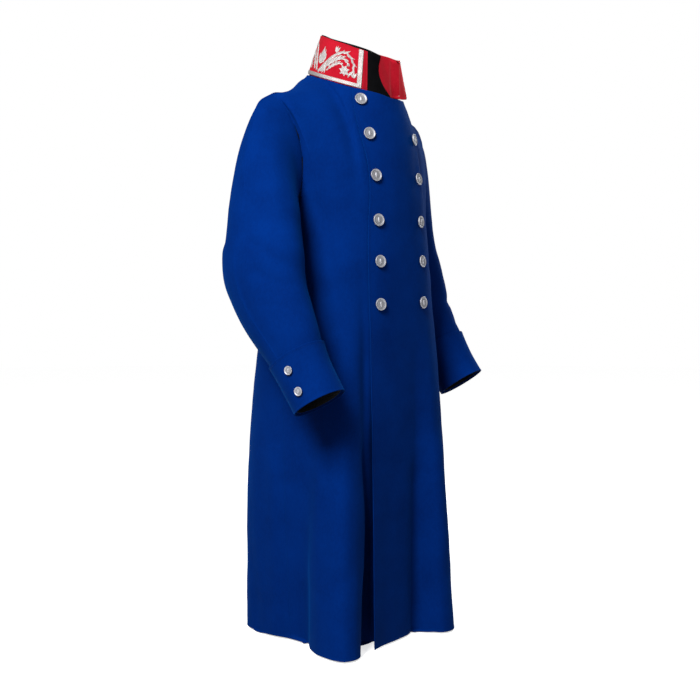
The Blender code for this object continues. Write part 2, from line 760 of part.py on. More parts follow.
def surface_tree(grid):
    rows, columns = grid.shape[:2]
    points = [Vector(point) for point in grid.reshape(-1, 3)]
    faces = [
        (r * columns + c, r * columns + c + 1, (r + 1) * columns + c + 1, (r + 1) * columns + c)
        for r in range(rows - 1)
        for c in range(columns - 1)
    ]
    return BVHTree.FromPolygons(points, faces)


def build_body():
    axis = np.array((0.0, 0.0, -0.5))
    grids = {"front_left": front_grid(True), "front_right": front_grid(False), "back": back_grid()}
    spans = {
        "front_left": front_spans(OVER_EDGE),
        "front_right": front_spans(UNDER_EDGE),
        "back": back_spans(),
    }
    for name, outer in grids.items():
        normal = shoulder_normals(outer, outward_normals(outer, axis), spans[name], name == "back")
        inner = outer - normal * WALL
        cloth_wall(name, outer, inner, CLOTH_BLUE)
    return grids["front_left"]


def build_sleeve(name, table, side):
    for piece, turns_at in (("upper", upper_turns), ("under", under_turns)):
        grid = sleeve_grid(table, side, turns_at, SLEEVE_ROWS)
        whole = sleeve_grid(table, side, lambda share: np.linspace(0, 2 * math.pi, 17)[:-1], SLEEVE_ROWS)
        axis = whole.mean(axis=1, keepdims=True)
        normal = outward_normals(grid, axis)
        for seam in (1, -2):
            near = sleeve_grid(table, side, lambda share: turns_at(share)[seam] + SEAM_REACH, SLEEVE_ROWS)
            normal[:, seam] = outward_normals(near, axis)[:, 1]
        outer = narrowed(grid[:, 1:-1])
        cloth_wall(f"sleeve_{piece}_{name}", outer, outer - normal[:, 1:-1] * WALL, CLOTH_BLUE)


def narrowed(grid):
    """A grid whose first and last columns are drawn in by half of the seam's gap."""
    grid = grid.copy()
    for edge, inner in ((0, 1), (-1, -2)):
        across = grid[:, inner] - grid[:, edge]
        grid[:, edge] += across / np.linalg.norm(across, axis=1, keepdims=True) * SEAM_GAP / 2
    return grid


def build_cuff(name, table, side):
    grid = cuff_grid(table, side)
    normal = outward_normals(grid, grid[:, 1:-1].mean(axis=1, keepdims=True))[:, 1:-1]
    outer = grid[:, 1:-1]
    cloth_wall(f"cuff_{name}", outer, outer - normal * CUFF_WALL, CLOTH_BLUE, ring=True)
    length = chords(np.asarray(table)[:, :3])[-1]
    for index, share in enumerate(CUFF_BUTTON_SHARES):
        place = 1 - (CUFF_HEIGHT / length) * (1 - share)
        grow = CUFF_CLEARANCE + CUFF_WALL + CUFF_FLARE * share
        turns = (CUFF_BUTTON_TURN - 0.02, CUFF_BUTTON_TURN, CUFF_BUTTON_TURN + 0.02)
        ring = sleeve_ring(table, place, turns, side, grow)
        centre, direction, _, _ = sleeve_frames(table, place)
        facing = np.cross(ring[2] - ring[0], direction)
        facing *= math.copysign(1 / np.linalg.norm(facing), facing.dot(ring[1] - centre))
        button(f"cuff_button_{name}_{index + 1}", CUFF_BUTTON, ring[1], facing, SILVER)


def build_collar():
    axis = np.array((0.0, NECK_CENTRE_Y, 0.04))
    angles, rises = collar_angles(), collar_rises()
    outer = collar_grid(angles, rises, 0.0)
    cloth_wall("collar", outer, collar_grid(angles, rises, -WALL), COLLAR_RED)
    outer = lining_grid()
    cloth_wall("collar_lining", outer, outer - outward_normals(outer, axis) * LINING_WALL, LINING_BLACK)
    half = len(angles) // 2
    build_braid("left", angles[1 : half + 1], rises, -0.002)
    build_braid("right", angles[: half - 1 : -1][1:], rises, 0.002)


def build_braid(name, angles, rises, middle_gap):
    """The silver braid of one half of the collar: up its front and along its foot, in one piece."""
    angles = np.array(angles)
    angles[-1] += middle_gap
    rises = np.array(rises[1:])
    rises[-1] -= 0.004
    cells = [(i, 0) for i in range(len(angles) - 1)] + [(0, j) for j in range(1, len(rises) - 1)]
    mesh = bmesh.new()
    verts = {}
    for i, j in cells:
        for corner in ((i, j), (i + 1, j), (i + 1, j + 1), (i, j + 1)):
            if corner not in verts:
                verts[corner] = mesh.verts.new(collar_point(angles[corner[0]], rises[corner[1]], BRAID_GAP))
        corners = ((i, j), (i + 1, j), (i + 1, j + 1), (i, j + 1))
        mesh.faces.new([verts[corner] for corner in (corners if middle_gap < 0 else corners[::-1])])
    data = bpy.data.meshes.new(f"collar_braid_{name}")
    mesh.to_mesh(data)
    mesh.free()
    data.materials.append(material(SILVER_BRAID))
    data.shade_smooth()
    piece = bpy.data.objects.new(data.name, data)
    bpy.context.scene.collection.objects.link(piece)
    solid = piece.modifiers.new("wall", "SOLIDIFY")
    solid.thickness = BRAID_RISE
    solid.offset = 1.0


def build_front_buttons(over):
    """The buttons of both columns, all sewn to the left front, which lies on top."""
    tree = surface_tree(over)
    for row, (height, right, left) in enumerate(BUTTON_ROWS, start=1):
        for name, place, rise in (("right", right, 0.0), ("left", left, LEFT_COLUMN_RISE)):
            if place is None:
                continue
            side = -1.0 if name == "right" else 1.0
            start = Vector((side * place, -1.0, height + rise))
            foot, normal, _, _ = tree.ray_cast(start, Vector((0.0, 1.0, 0.0)))
            if normal.y > 0:
                normal = -normal
            button(f"button_{name}_{row}", FRONT_BUTTON, foot, normal, SILVER)


def main():
    clear_scene()
    over = build_body()
    build_collar()
    for name, table, side in (("right", RIGHT_SLEEVE, -1.0), ("left", LEFT_SLEEVE, 1.0)):
        build_sleeve(name, table, side)
        build_cuff(name, table, side)
    build_front_buttons(over)


main()
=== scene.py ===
"""The wool overcoat, dressed: thin cloth with its folds, seams, braid, embroidery and buttons, and a plain studio."""

import logging
import math
from dataclasses import dataclass, field
from enum import Enum
from typing import Any, Iterable, Sequence

import bmesh
import bpy
import numpy as np
from mathutils import Matrix, Vector, noise


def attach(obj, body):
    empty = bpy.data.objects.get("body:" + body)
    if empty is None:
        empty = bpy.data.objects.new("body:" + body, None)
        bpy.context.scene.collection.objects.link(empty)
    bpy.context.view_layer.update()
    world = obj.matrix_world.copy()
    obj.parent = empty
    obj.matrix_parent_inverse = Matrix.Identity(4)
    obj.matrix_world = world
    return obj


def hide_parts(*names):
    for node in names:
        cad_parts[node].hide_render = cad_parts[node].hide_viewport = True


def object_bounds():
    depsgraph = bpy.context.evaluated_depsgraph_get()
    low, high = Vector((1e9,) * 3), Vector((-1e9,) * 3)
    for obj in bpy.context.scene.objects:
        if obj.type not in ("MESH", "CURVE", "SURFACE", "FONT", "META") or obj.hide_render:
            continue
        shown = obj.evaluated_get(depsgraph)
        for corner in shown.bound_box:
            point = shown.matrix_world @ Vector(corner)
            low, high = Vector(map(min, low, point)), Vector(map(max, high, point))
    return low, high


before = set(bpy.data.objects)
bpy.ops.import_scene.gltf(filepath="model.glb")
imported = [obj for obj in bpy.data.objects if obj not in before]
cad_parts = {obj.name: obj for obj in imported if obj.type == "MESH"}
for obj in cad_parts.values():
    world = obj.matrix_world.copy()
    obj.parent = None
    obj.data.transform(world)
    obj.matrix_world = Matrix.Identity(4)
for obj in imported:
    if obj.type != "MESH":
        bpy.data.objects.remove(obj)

CAD_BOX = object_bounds()
LOG = logging.getLogger("overcoat")
Colour = tuple[float, float, float]
Grid = np.ndarray
ARM_OUT, ARM_FORWARD, ARM_LEAN, ELBOW = 0.245, -0.03, 0.25, -0.42
CREASE_POINTS = 24
RIPPLES = ((1.0, 0.075, 3.7), (0.4, 0.03, 9.1))
THREAD, THREAD_RISE = 0.0005, 0.00012
EDGE_PLACES = (0.0, 0.0008, 0.0018, 0.0032, 0.0052, 0.008)


# Shader maths


class Value:
    """A shader socket that takes part in Python expressions, each adding its Math node."""

    def __init__(self, tree: bpy.types.NodeTree, socket: Any) -> None:
        """Wraps an output socket of a tree."""
        self.tree = tree
        self.socket = socket

    def _math(self, operation: str, *others: Any, clamp: bool = False) -> "Value":
        """Adds one Math node.

        Args:
            operation: the node's operation.
            others: the other operands, values or numbers.
            clamp: keeps the result in 0 to 1.

        Returns:
            The node's result.
        """
        node = self.tree.nodes.new("ShaderNodeMath")
        node.operation = operation
        node.use_clamp = clamp
        for index, operand in enumerate((self, *others)):
            if isinstance(operand, Value):
                self.tree.links.new(operand.socket, node.inputs[index])
            else:
                node.inputs[index].default_value = float(operand)
        return Value(self.tree, node.outputs[0])

    def __add__(self, other: Any) -> "Value":
        """Sum."""
        return self._math("ADD", other)

    __radd__ = __add__

    def __mul__(self, other: Any) -> "Value":
        """Product."""
        return self._math("MULTIPLY", other)

    __rmul__ = __mul__

    def __sub__(self, other: Any) -> "Value":
        """Difference."""
        return self._math("SUBTRACT", other)

    def __rsub__(self, other: float) -> "Value":
        """A number less this value."""
        return (self * -1.0) + other

    def __truediv__(self, other: Any) -> "Value":
        """Quotient."""
        return self._math("DIVIDE", other)

    def sine(self) -> "Value":
        """The sine of this value in radians."""
        return self._math("SINE")

    def step(self, low: float, high: float) -> "Value":
        """0 below low, 1 above high and straight between."""
        return ((self - low) / (high - low))._math("ADD", 0.0, clamp=True)


class Nodes:
    """A node tree in the making."""

    def __init__(self, tree: bpy.types.NodeTree) -> None:
        """Keeps the tree."""
        self.tree = tree

    def node(self, kind: str, settings: dict[str, Any] | None = None, **values: Any) -> Any:
        """Adds a node.

        Args:
            kind: the node's type.
            settings: attributes that are set first.
            values: sockets by name, with _ for a space, or by number as s0, s1; a value, socket, colour or number.

        Returns:
            The node.
        """
        made = self.tree.nodes.new(kind)
        for key, setting in (settings or {}).items():
            setattr(made, key, setting)
        for key, value in values.items():
            place = int(key[1:]) if key[0] == "s" and key[1:].isdigit() else key.replace("_", " ")
            self.feed(made.inputs[place], value)
        return made

    def feed(self, socket: Any, value: Any) -> None:
        """Links a value to a socket or sets it there."""
        if isinstance(value, Value):
            self.tree.links.new(value.socket, socket)
        elif isinstance(value, bpy.types.NodeSocket):
            self.tree.links.new(value, socket)
        elif isinstance(value, tuple) and len(value) == 3 and len(socket.default_value) == 4:
            socket.default_value = (*value, 1.0)
        else:
            socket.default_value = value

    def value(self, socket: Any) -> Value:
        """Wraps a socket for expressions."""
        return Value(self.tree, socket)


class Finish(Nodes):
    """A procedural material in the making: one tree with its shader."""

    def __init__(self, name: str) -> None:
        """Starts a material with a Principled shader."""
        self.material = bpy.data.materials.new(name)
        self.material.use_nodes = True
        super().__init__(self.material.node_tree)
        self.shader = self.tree.nodes["Principled BSDF"]

    def place(self) -> Any:
        """The Object coordinates."""
        return self.node("ShaderNodeTexCoord").outputs["Object"]

    def lengths(self) -> tuple[Value, Value]:
        """Both coordinates of the piece's own map, in metres."""
        split = self.node("ShaderNodeSeparateXYZ", Vector=self.node("ShaderNodeUVMap", {"uv_map": "cut"}).outputs[0])
        return self.value(split.outputs[0]), self.value(split.outputs[1])

    def noise(self, scale: float, detail: float = 2.0, roughness: float = 0.5, stretch: Colour = (1, 1, 1)) -> Value:
        """Noise over the Object coordinates.

        Args:
            scale: grains per metre.
            detail: octaves.
            roughness: how much the fine octaves count.
            stretch: factors on the coordinates.

        Returns:
            The noise, 0 to 1.
        """
        place = self.node("ShaderNodeMapping", {"vector_type": "POINT"}, Vector=self.place(), Scale=stretch)
        grain = {"Scale": scale, "Detail": detail, "Roughness": roughness}
        return self.value(self.node("ShaderNodeTexNoise", Vector=place.outputs[0], **grain).outputs["Fac"])

    def mixed(self, share: Any, first: Any, second: Any) -> Any:
        """A colour between two, by a share."""
        made = self.node("ShaderNodeMix", {"data_type": "RGBA"}, s0=share, s6=first, s7=second)
        return made.outputs[2]

    def relief(self, height: Value, depth: float, strength: float) -> None:
        """Feeds a bump of a depth in metres to the shader's normal."""
        bump = self.node("ShaderNodeBump", Strength=strength, Distance=depth, Height=height)
        self.feed(self.shader.inputs["Normal"], bump.outputs[0])

    def surface(self, **values: Any) -> bpy.types.Material:
        """Sets the shader's sockets and hands over the material."""
        for key, value in values.items():
            self.feed(self.shader.inputs[key.replace("_", " ")], value)
        return self.material


# Finishes


@dataclass(frozen=True)
class Wool:
    """Felted wool: a soft nap, faint mottling and a bloom of loose fibres."""

    name: str
    shade: Colour
    light: Colour
    bloom: Colour
    bloom_weight: float = 0.35
    nap_depth: float = 0.00035

    def material(self) -> bpy.types.Material:
        """Makes the finish."""
        make = Finish(self.name)
        fine = make.noise(900.0, 3.0, 0.65)
        nap = make.noise(260.0, 3.0, 0.6, (1.0, 1.0, 0.55))
        cloud = make.noise(14.0, 3.0, 0.5)
        share = (nap * 0.35 + fine * 0.35 + cloud * 0.5).step(0.36, 0.84)
        colour = make.mixed(share, self.shade, self.light)
        make.relief(fine * 0.55 + nap * 0.6, self.nap_depth, 0.7)
        bloom = {"Sheen_Weight": self.bloom_weight, "Sheen_Roughness": 0.40, "Sheen_Tint": self.bloom}
        return make.surface(Base_Color=colour, Roughness=0.80 + cloud * 0.12, Specular_IOR_Level=0.01, **bloom)


@dataclass(frozen=True)
class Silk:
    """Smooth lining with a fine diagonal weave."""

    name: str
    shade: Colour
    light: Colour
    ribs: float = 3600.0
    depth: float = 0.00008

    def material(self) -> bpy.types.Material:
        """Makes the finish."""
        make = Finish(self.name)
        across, along = make.lengths()
        twill = ((across + along) * self.ribs).sine() * 0.5 + 0.5
        cloud = make.noise(40.0, 3.0)
        make.relief(twill, self.depth, 0.5)
        colour = make.mixed(cloud, self.shade, self.light)
        return make.surface(Base_Color=colour, Roughness=0.60 + cloud * 0.1, Specular_IOR_Level=0.06)


@dataclass(frozen=True)
class MetalThread:
    """Woven or stitched silver thread. A rib runs across the piece every pitch metres; the colour is darker in the
    grooves between ribs as painted shade, and mottled by random tarnish.
    """

    name: str
    shade: Colour
    light: Colour
    pitch: float
    metallic: float = 0.75
    depth: float = 0.0003
    crossed: bool = True
    gloss: float = 0.5

    def material(self) -> bpy.types.Material:
        """Makes the finish."""
        make = Finish(self.name)
        across, along = make.lengths()
        turn = 2 * math.pi / self.pitch
        weave = ((across * 0.6 + along) * turn).sine() * 0.5 + 0.5
        if self.crossed:
            second = ((across * 0.6 - along) * turn).sine() * 0.5 + 0.5
            weave = weave * 0.5 + second * 0.5
        tarnish = make.noise(120.0, 3.0)
        make.relief(weave, self.depth, 0.8)
        # Painted shade: the colour goes dark in the weave's grooves and light on its ribs, following the relief; the
        # tarnish noise adds random mottling.
        share = (weave * 0.6 + tarnish * 0.5).step(0.15, 0.85)
        values = {"Metallic": self.metallic, "Roughness": 0.55 - weave * 0.15, "Specular_IOR_Level": self.gloss}
        return make.surface(Base_Color=make.mixed(share, self.shade, self.light), **values)


@dataclass(frozen=True)
class SilverPlate:
    """Stamped silvered metal, darker in its hollows."""

    name: str
    shade: Colour
    light: Colour
    roughness: float = 0.44

    def material(self) -> bpy.types.Material:
        """Makes the finish."""
        make = Finish(self.name)
        tarnish = make.noise(180.0, 4.0, 0.6)
        make.relief(make.noise(1200.0, 2.0), 0.00003, 0.2)
        colour = make.mixed(tarnish.step(0.30, 0.95), self.light, self.shade)
        return make.surface(Base_Color=colour, Metallic=0.85, Roughness=self.roughness + tarnish * 0.22)


@dataclass(frozen=True)
class Floor:
    """Plain pale floor."""

    name: str = "pale floor"
    colour: Colour = (0.92, 0.92, 0.92)
    glow: float = 0.74

    def material(self) -> bpy.types.Material:
        """Makes the finish."""
        make = Finish(self.name)
        glow = {"Emission_Color": self.colour, "Emission_Strength": self.glow}
        rough = 0.85 + make.noise(30.0) * 0.1
        return make.surface(Base_Color=self.colour, Roughness=rough, Specular_IOR_Level=0.1, **glow)


class Cloth(Enum):
    """The finishes of the coat."""

    BLUE = Wool("blue wool", (0.00002, 0.0092, 0.078), (0.00005, 0.0170, 0.132), (0.0, 0.28, 1.0), 0.09)
    RED = Wool("red wool", (0.21, 0.0030, 0.0080), (0.36, 0.0080, 0.0190), (1.0, 0.25, 0.25), 0.18)
    LINING = Silk("black lining", (0.0008, 0.0008, 0.0010), (0.0030, 0.0030, 0.0036))
    # In the braid, embroidery and thread finishes the first colour is painted shade in the weave's grooves, with
    # tarnish, and the second is the colour on the ribs.
    BRAID = MetalThread("silver braid", (0.15, 0.135, 0.13), (0.37, 0.34, 0.33), 0.0016, metallic=0.5)
    EMBROIDERY = MetalThread(
        "silver embroidery", (0.20, 0.185, 0.18), (0.56, 0.53, 0.52), 0.0008, 0.5, depth=0.00025, crossed=False
    )
    THREAD = MetalThread("blue thread", (0.0004, 0.007, 0.06), (0.0012, 0.018, 0.13), 0.0006, 0.0, gloss=0.04)
    RED_THREAD = MetalThread("red thread", (0.16, 0.002, 0.006), (0.34, 0.007, 0.016), 0.0006, 0.0, gloss=0.1)
    BUTTON = SilverPlate("silvered button", (0.19, 0.19, 0.20), (0.36, 0.36, 0.39))
    BUTTON_FIELD = SilverPlate("silvered field", (0.13, 0.13, 0.14), (0.25, 0.25, 0.27), 0.56)

    def get(self) -> bpy.types.Material:
        """The one material of this finish."""
        return bpy.data.materials.get(self.value.name) or self.value.material()


# Smooth grids read from the model


def distances(points: Grid) -> Grid:
    """Running length along a path of points."""
    return np.concatenate([[0.0], np.cumsum(np.linalg.norm(np.diff(points, axis=0), axis=1))])


def cells(points: Grid) -> Grid:
    """The cross product of each grid cell's diagonals, twice its area long and along its normal."""
    return np.cross(points[1:, 1:] - points[:-1, :-1], points[1:, :-1] - points[:-1, 1:])


def smooth_path(points: Grid, at: Grid, ring: bool = False) -> Grid:
    """Points of a smooth curve through others.

    Args:
        points: rows that the curve passes, of any shape after the first axis.
        at: shares of the curve's length.
        ring: the last row joins the first.

    Returns:
        The curve at the shares.
    """
    flat = points.reshape(len(points), -1)
    if ring:
        flat = np.vstack([flat[-3:], flat, flat[:4]])
    knots = distances(flat)
    if ring:
        knots = (knots - knots[3]) / (knots[-4] - knots[3])
    else:
        knots = knots / knots[-1]
    before, after = np.maximum(np.arange(len(knots)) - 1, 0), np.minimum(np.arange(len(knots)) + 1, len(knots) - 1)
    slopes = (flat[after] - flat[before]) / (knots[after] - knots[before])[:, None]
    at = np.asarray(at, float)
    index = np.clip(np.searchsorted(knots, at, side="right") - 1, 0, len(knots) - 2)
    span = (knots[index + 1] - knots[index])[:, None]
    share = (at - knots[index])[:, None] / span
    square, cube = share**2, share**3
    curve = (
        (2 * cube - 3 * square + 1) * flat[index]
        + (cube - 2 * square + share) * slopes[index] * span
        + (3 * square - 2 * cube) * flat[index + 1]
        + (cube - square) * slopes[index + 1] * span
    )
    return curve.reshape(len(at), *points.shape[1:])


class CutGrid:
    """The outer face of one cloth solid, as rows of points from its foot up, read from the model's own mesh."""

    def __init__(self, node: str, wall: float, ring: bool = False, lying: bool = False) -> None:
        """Reads the solid.

        Args:
            node: the solid's name.
            wall: its thickness in metres.
            ring: the piece closes on itself.
            lying: the piece is longer round the coat than it is high.
        """
        self.node, self.ring, self.lying = node, ring, lying
        self.points = self._read(wall)

    def _read(self, wall: float) -> Grid:
        """Leaves the outer face of a merged copy, and walks its rows."""
        cut = bmesh.new()
        cut.from_mesh(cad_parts[self.node].data)
        bmesh.ops.remove_doubles(cut, verts=cut.verts, dist=2e-5)
        rim = {face for edge in cut.edges if edge.calc_length() < wall * 1.25 for face in edge.link_faces}
        bmesh.ops.delete(cut, geom=list(rim), context="FACES_ONLY")
        bmesh.ops.delete(cut, geom=[edge for edge in cut.edges if not edge.link_faces], context="EDGES")
        sheets = self._sheets(cut)
        outer = max(sheets, key=lambda faces: sum(face.calc_area() for face in faces))
        near: dict[Any, set[Any]] = {}
        for face in outer:
            for edge, vert in ((edge, vert) for edge in face.edges for vert in edge.verts):
                near.setdefault(vert, set()).add(edge.other_vert(vert))
        rows = self._ring_rows(outer, near) if self.ring else self._open_rows(outer, near)
        points = np.array([[tuple(vert.co) for vert in row] for row in rows])
        cut.free()
        if self.lying and points.shape[0] > points.shape[1]:
            points = points.transpose(1, 0, 2)
        if points[0, :, 2].mean() > points[-1, :, 2].mean():
            points = points[::-1]
        return self._facing_out(points)

    @staticmethod
    def _sheets(cut: bmesh.types.BMesh) -> list[set[Any]]:
        """The separate sheets of faces."""
        left, sheets = set(cut.faces), []
        while left:
            sheet, found = set(), {left.pop()}
            while found:
                face = found.pop()
                sheet.add(face)
                beside = {other for edge in face.edges for other in edge.link_faces} & left
                left -= beside
                found |= beside
            sheets.append(sheet)
        return sheets

    @staticmethod
    def _loops(outer: set[Any]) -> list[list[Any]]:
        """The loops of vertices round a sheet's open edges."""
        after: dict[Any, list[Any]] = {}
        for face in outer:
            for edge in face.edges:
                if sum(other in outer for other in edge.link_faces) == 1:
                    for vert in edge.verts:
                        after.setdefault(vert, []).append(edge.other_vert(vert))
        for beside in after.values():
            beside.sort(key=lambda vert: tuple(vert.co))
        loops = []
        while after:
            start = min(after, key=lambda vert: tuple(vert.co))
            loop, last = [start], None
            while True:
                here = loop[-1]
                step = next((vert for vert in after[here] if vert is not last and vert not in loop[1:]), None)
                if step is None or step is start:
                    break
                last = here
                loop.append(step)
            for vert in loop:
                after.pop(vert)
            loops.append(loop)
        return loops

    @staticmethod
    def _next_row(row: list[Any], first: Any, near: dict[Any, set[Any]], used: set[Any]) -> list[Any] | None:
        """The row beyond one, from its first vertex, or None where the walk fails."""
        made = [first]
        for vert in row[1:]:
            both = [item for item in near[made[-1]] & near[vert] if item not in used and item not in made]
            if len(both) != 1:
                return None
            made.append(both[0])
        return made

    def _open_rows(self, outer: set[Any], near: dict[Any, set[Any]]) -> list[list[Any]]:
        """Rows of an open panel, the lowest first; only its corners have fewer than four neighbours."""
        loop = self._loops(outer)[0]
        corners = [place for place, vert in enumerate(loop) if len(near[vert]) < 4]
        found = []
        for corner, after in zip(corners, [*corners[1:], corners[0] + len(loop)]):
            columns = after - corner + 1
            walk = self._walk(loop[corner:] + loop[:corner], len(loop) // 2 + 2 - columns, columns, near)
            found += [walk] if walk else []
        if not found:
            raise ValueError(f"{self.node}: no grid found, {len(loop)} round and {len(near)} in all")
        return min(found, key=lambda rows: sum(vert.co.z for vert in rows[0]) / len(rows[0]))

    def _walk(self, loop: list[Any], rows: int, columns: int, near: dict[Any, set[Any]]) -> list[list[Any]] | None:
        """Walks a grid whose first row starts the loop; the first column runs back from its start."""
        made = [loop[:columns]]
        used = set(made[0])
        for row in range(1, rows):
            step = self._next_row(made[-1], loop[-row], near, used)
            if step is None or step[-1] is not loop[columns - 1 + row]:
                return None
            used.update(step)
            made.append(step)
        return made

    def _ring_rows(self, outer: set[Any], near: dict[Any, set[Any]]) -> list[list[Any]]:
        """Rows of a ring, the upper one last."""
        loops = sorted(self._loops(outer), key=lambda loop: sum(vert.co.z for vert in loop) / len(loop))
        made = [loops[0]]
        used = set(made[0])
        while len(used) < len(near):
            start = made[-1][0]
            first = min(near[start] - used, key=lambda vert: (vert.co - start.co).length)
            step = self._next_row(made[-1], first, near, used)
            if step is None:
                raise ValueError(f"{self.node}: the ring's rows don't close")
            used.update(step)
            made.append(step)
        return made

    def _facing_out(self, points: Grid) -> Grid:
        """Turns the columns so that the faces look out of the coat."""
        normal = cells(points)
        place = (points[1:, 1:] + points[:-1, :-1]) / 2
        middle = points.reshape(-1, 3).mean(axis=0) if self.ring else self._inside(place)
        return points if (normal * (place - middle)).sum() > 0 else points[:, ::-1]

    def _inside(self, place: Grid) -> Grid:
        """Points well inside the tube that a panel is part of."""
        if self.node.startswith("sleeve"):
            side = -1.0 if self.node.endswith("right") else 1.0
            height = place[..., 2]
            forward = ARM_FORWARD - ARM_LEAN * np.maximum(0.0, ELBOW - height)
            return np.stack([np.full_like(height, side * ARM_OUT), forward, height], axis=-1)
        return place * (0.0, 0.0, 1.0)

    def fine(self, across: Grid, along: Grid) -> Grid:
        """The smooth face at shares of its width and height."""
        rows = np.array([smooth_path(row, across, self.ring) for row in self.points])
        return smooth_path(rows, along)

    def size(self) -> tuple[float, float]:
        """The mean width and height in metres."""
        points = self.points
        if self.ring:
            points = np.concatenate([points, points[:, :1]], axis=1)
        width = np.linalg.norm(np.diff(points, axis=1), axis=2).sum(axis=1).mean()
        height = np.linalg.norm(np.diff(points, axis=0), axis=2).sum(axis=0).mean()
        return float(width), float(height)


# Folds


@dataclass(frozen=True)
class Crease:
    """A fold in the cloth, in millimetres: a line of points near its face, how deep it lies and how wide it is.

    A negative depth is a hollow and a positive one a ridge. The fold fades over a share of the line at each end.
    """

    line: tuple[tuple[float, float, float], ...]
    depth: float
    width: float
    fade_start: float = 0.25
    fade_end: float = 0.25
    only: tuple[str, ...] = ()

    def lift(self, points: Grid) -> Grid:
        """How far each point moves out along its normal."""
        line = smooth_path(np.array(self.line) / 1000, np.linspace(0, 1, CREASE_POINTS))
        run = distances(line)
        best = np.full(points.shape[:-1], np.inf)
        share = np.zeros(points.shape[:-1])
        for index in range(len(line) - 1):
            leg = line[index + 1] - line[index]
            along = np.clip(((points - line[index]) @ leg) / (leg @ leg), 0.0, 1.0)
            apart = np.linalg.norm(points - line[index] - along[..., None] * leg, axis=-1)
            closer = apart < best
            best = np.where(closer, apart, best)
            share = np.where(closer, (run[index] + along * (run[index + 1] - run[index])) / run[-1], share)
        start, end = max(self.fade_start, 1e-3), max(self.fade_end, 1e-3)
        fade = np.clip(share / start, 0, 1) * np.clip((1 - share) / end, 0, 1)
        fade = fade * fade * (3 - 2 * fade)
        return self.depth / 1000 * fade * near_edge(best, self.width / 1000)


def ripple(points: Grid, size: float, seed: float) -> Grid:
    """Slow unevenness of the cloth, -1 to 1, with waves of a size in metres."""
    flat = points.reshape(-1, 3) / size + seed
    return np.array([noise.noise(Vector(point)) for point in flat]).reshape(points.shape[:-1])


def near_edge(place: Grid, reach: float) -> Grid:
    """1 at an edge, falling softly with the distance from it over a reach."""
    return np.exp(-((place / reach) ** 2))


class Edge(Enum):
    """How one edge of a piece is finished: how far it dips and over what reach, in metres."""

    SEAM = (0.0011, 0.0032)
    LIP = (-0.0007, 0.0026)
    SET_IN = (0.0001, 0.0020)
    FLUSH = (0.0002, 0.0020)
    TURNED = (-0.0004, 0.0030)
    CURLED = (0.0052, 0.0072)
    NONE = (0.0, 0.0010)

    def dip(self, place: Grid) -> Grid:
        """How far the cloth dips at these distances from the edge."""
        depth, reach = self.value
        return depth * near_edge(place, reach)


# Pieces


def new_piece(
    name: str, mesh: bmesh.types.BMesh, finishes: Sequence[Cloth], replaces: Iterable[str] = ()
) -> Any:
    """Makes a finished piece of a mesh.

    Args:
        name: the piece's name.
        mesh: its shape, which is freed.
        finishes: its materials, in the order of the faces' numbers.
        replaces: the solids that it stands for.

    Returns:
        The piece, riding on the coat.
    """
    data = bpy.data.meshes.new(name)
    mesh.to_mesh(data)
    mesh.free()
    for finish in finishes:
        data.materials.append(finish.get())
    data.shade_smooth()
    piece = bpy.data.objects.new(name, data)
    bpy.context.scene.collection.objects.link(piece)
    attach(piece, "root")
    if replaces:
        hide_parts(*replaces)
    LOG.info("%s: %d faces", name, len(data.polygons))
    return piece


def normals_of(points: Grid, ring: bool = False) -> Grid:
    """Normals of a grid's points, from the faces round them."""
    if ring:
        points = np.concatenate([points[:, -1:], points, points[:, :1]], axis=1)
    faces = cells(points)
    total = np.zeros_like(points)
    for columns in (slice(1, None), slice(None, -1)):
        total[1:, columns] += faces
        total[:-1, columns] += faces
    total /= np.maximum(np.linalg.norm(total, axis=2, keepdims=True), 1e-12)
    return total[:, 1:-1] if ring else total


def relaxed(points: Grid, passes: int = 60) -> Grid:
    """Evens out the cells of a grid that turn sharply against their neighbours, its edges kept."""
    points = points.copy()
    for _ in range(passes):
        faces = cells(points)
        faces /= np.maximum(np.linalg.norm(faces, axis=2, keepdims=True), 1e-12)
        sharp = np.zeros(points.shape[:2], bool)
        rows = (faces[1:] * faces[:-1]).sum(axis=2) < 0.9
        columns = (faces[:, 1:] * faces[:, :-1]).sum(axis=2) < 0.9
        sharp[1:-1, :-1] |= rows
        sharp[1:-1, 1:] |= rows
        sharp[:-1, 1:-1] |= columns
        sharp[1:, 1:-1] |= columns
        for _ in range(2):
            grown = sharp.copy()
            grown[1:] |= sharp[:-1]
            grown[:-1] |= sharp[1:]
            grown[:, 1:] |= sharp[:, :-1]
            grown[:, :-1] |= sharp[:, 1:]
            sharp = grown
        sharp[[0, -1]] = False
        sharp[:, [0, -1]] = False
        if not sharp.any():
            break
        around = (np.roll(points, 1, 0) + np.roll(points, -1, 0) + np.roll(points, 1, 1) + np.roll(points, -1, 1)) / 4
        points[sharp] = around[sharp]
    return points


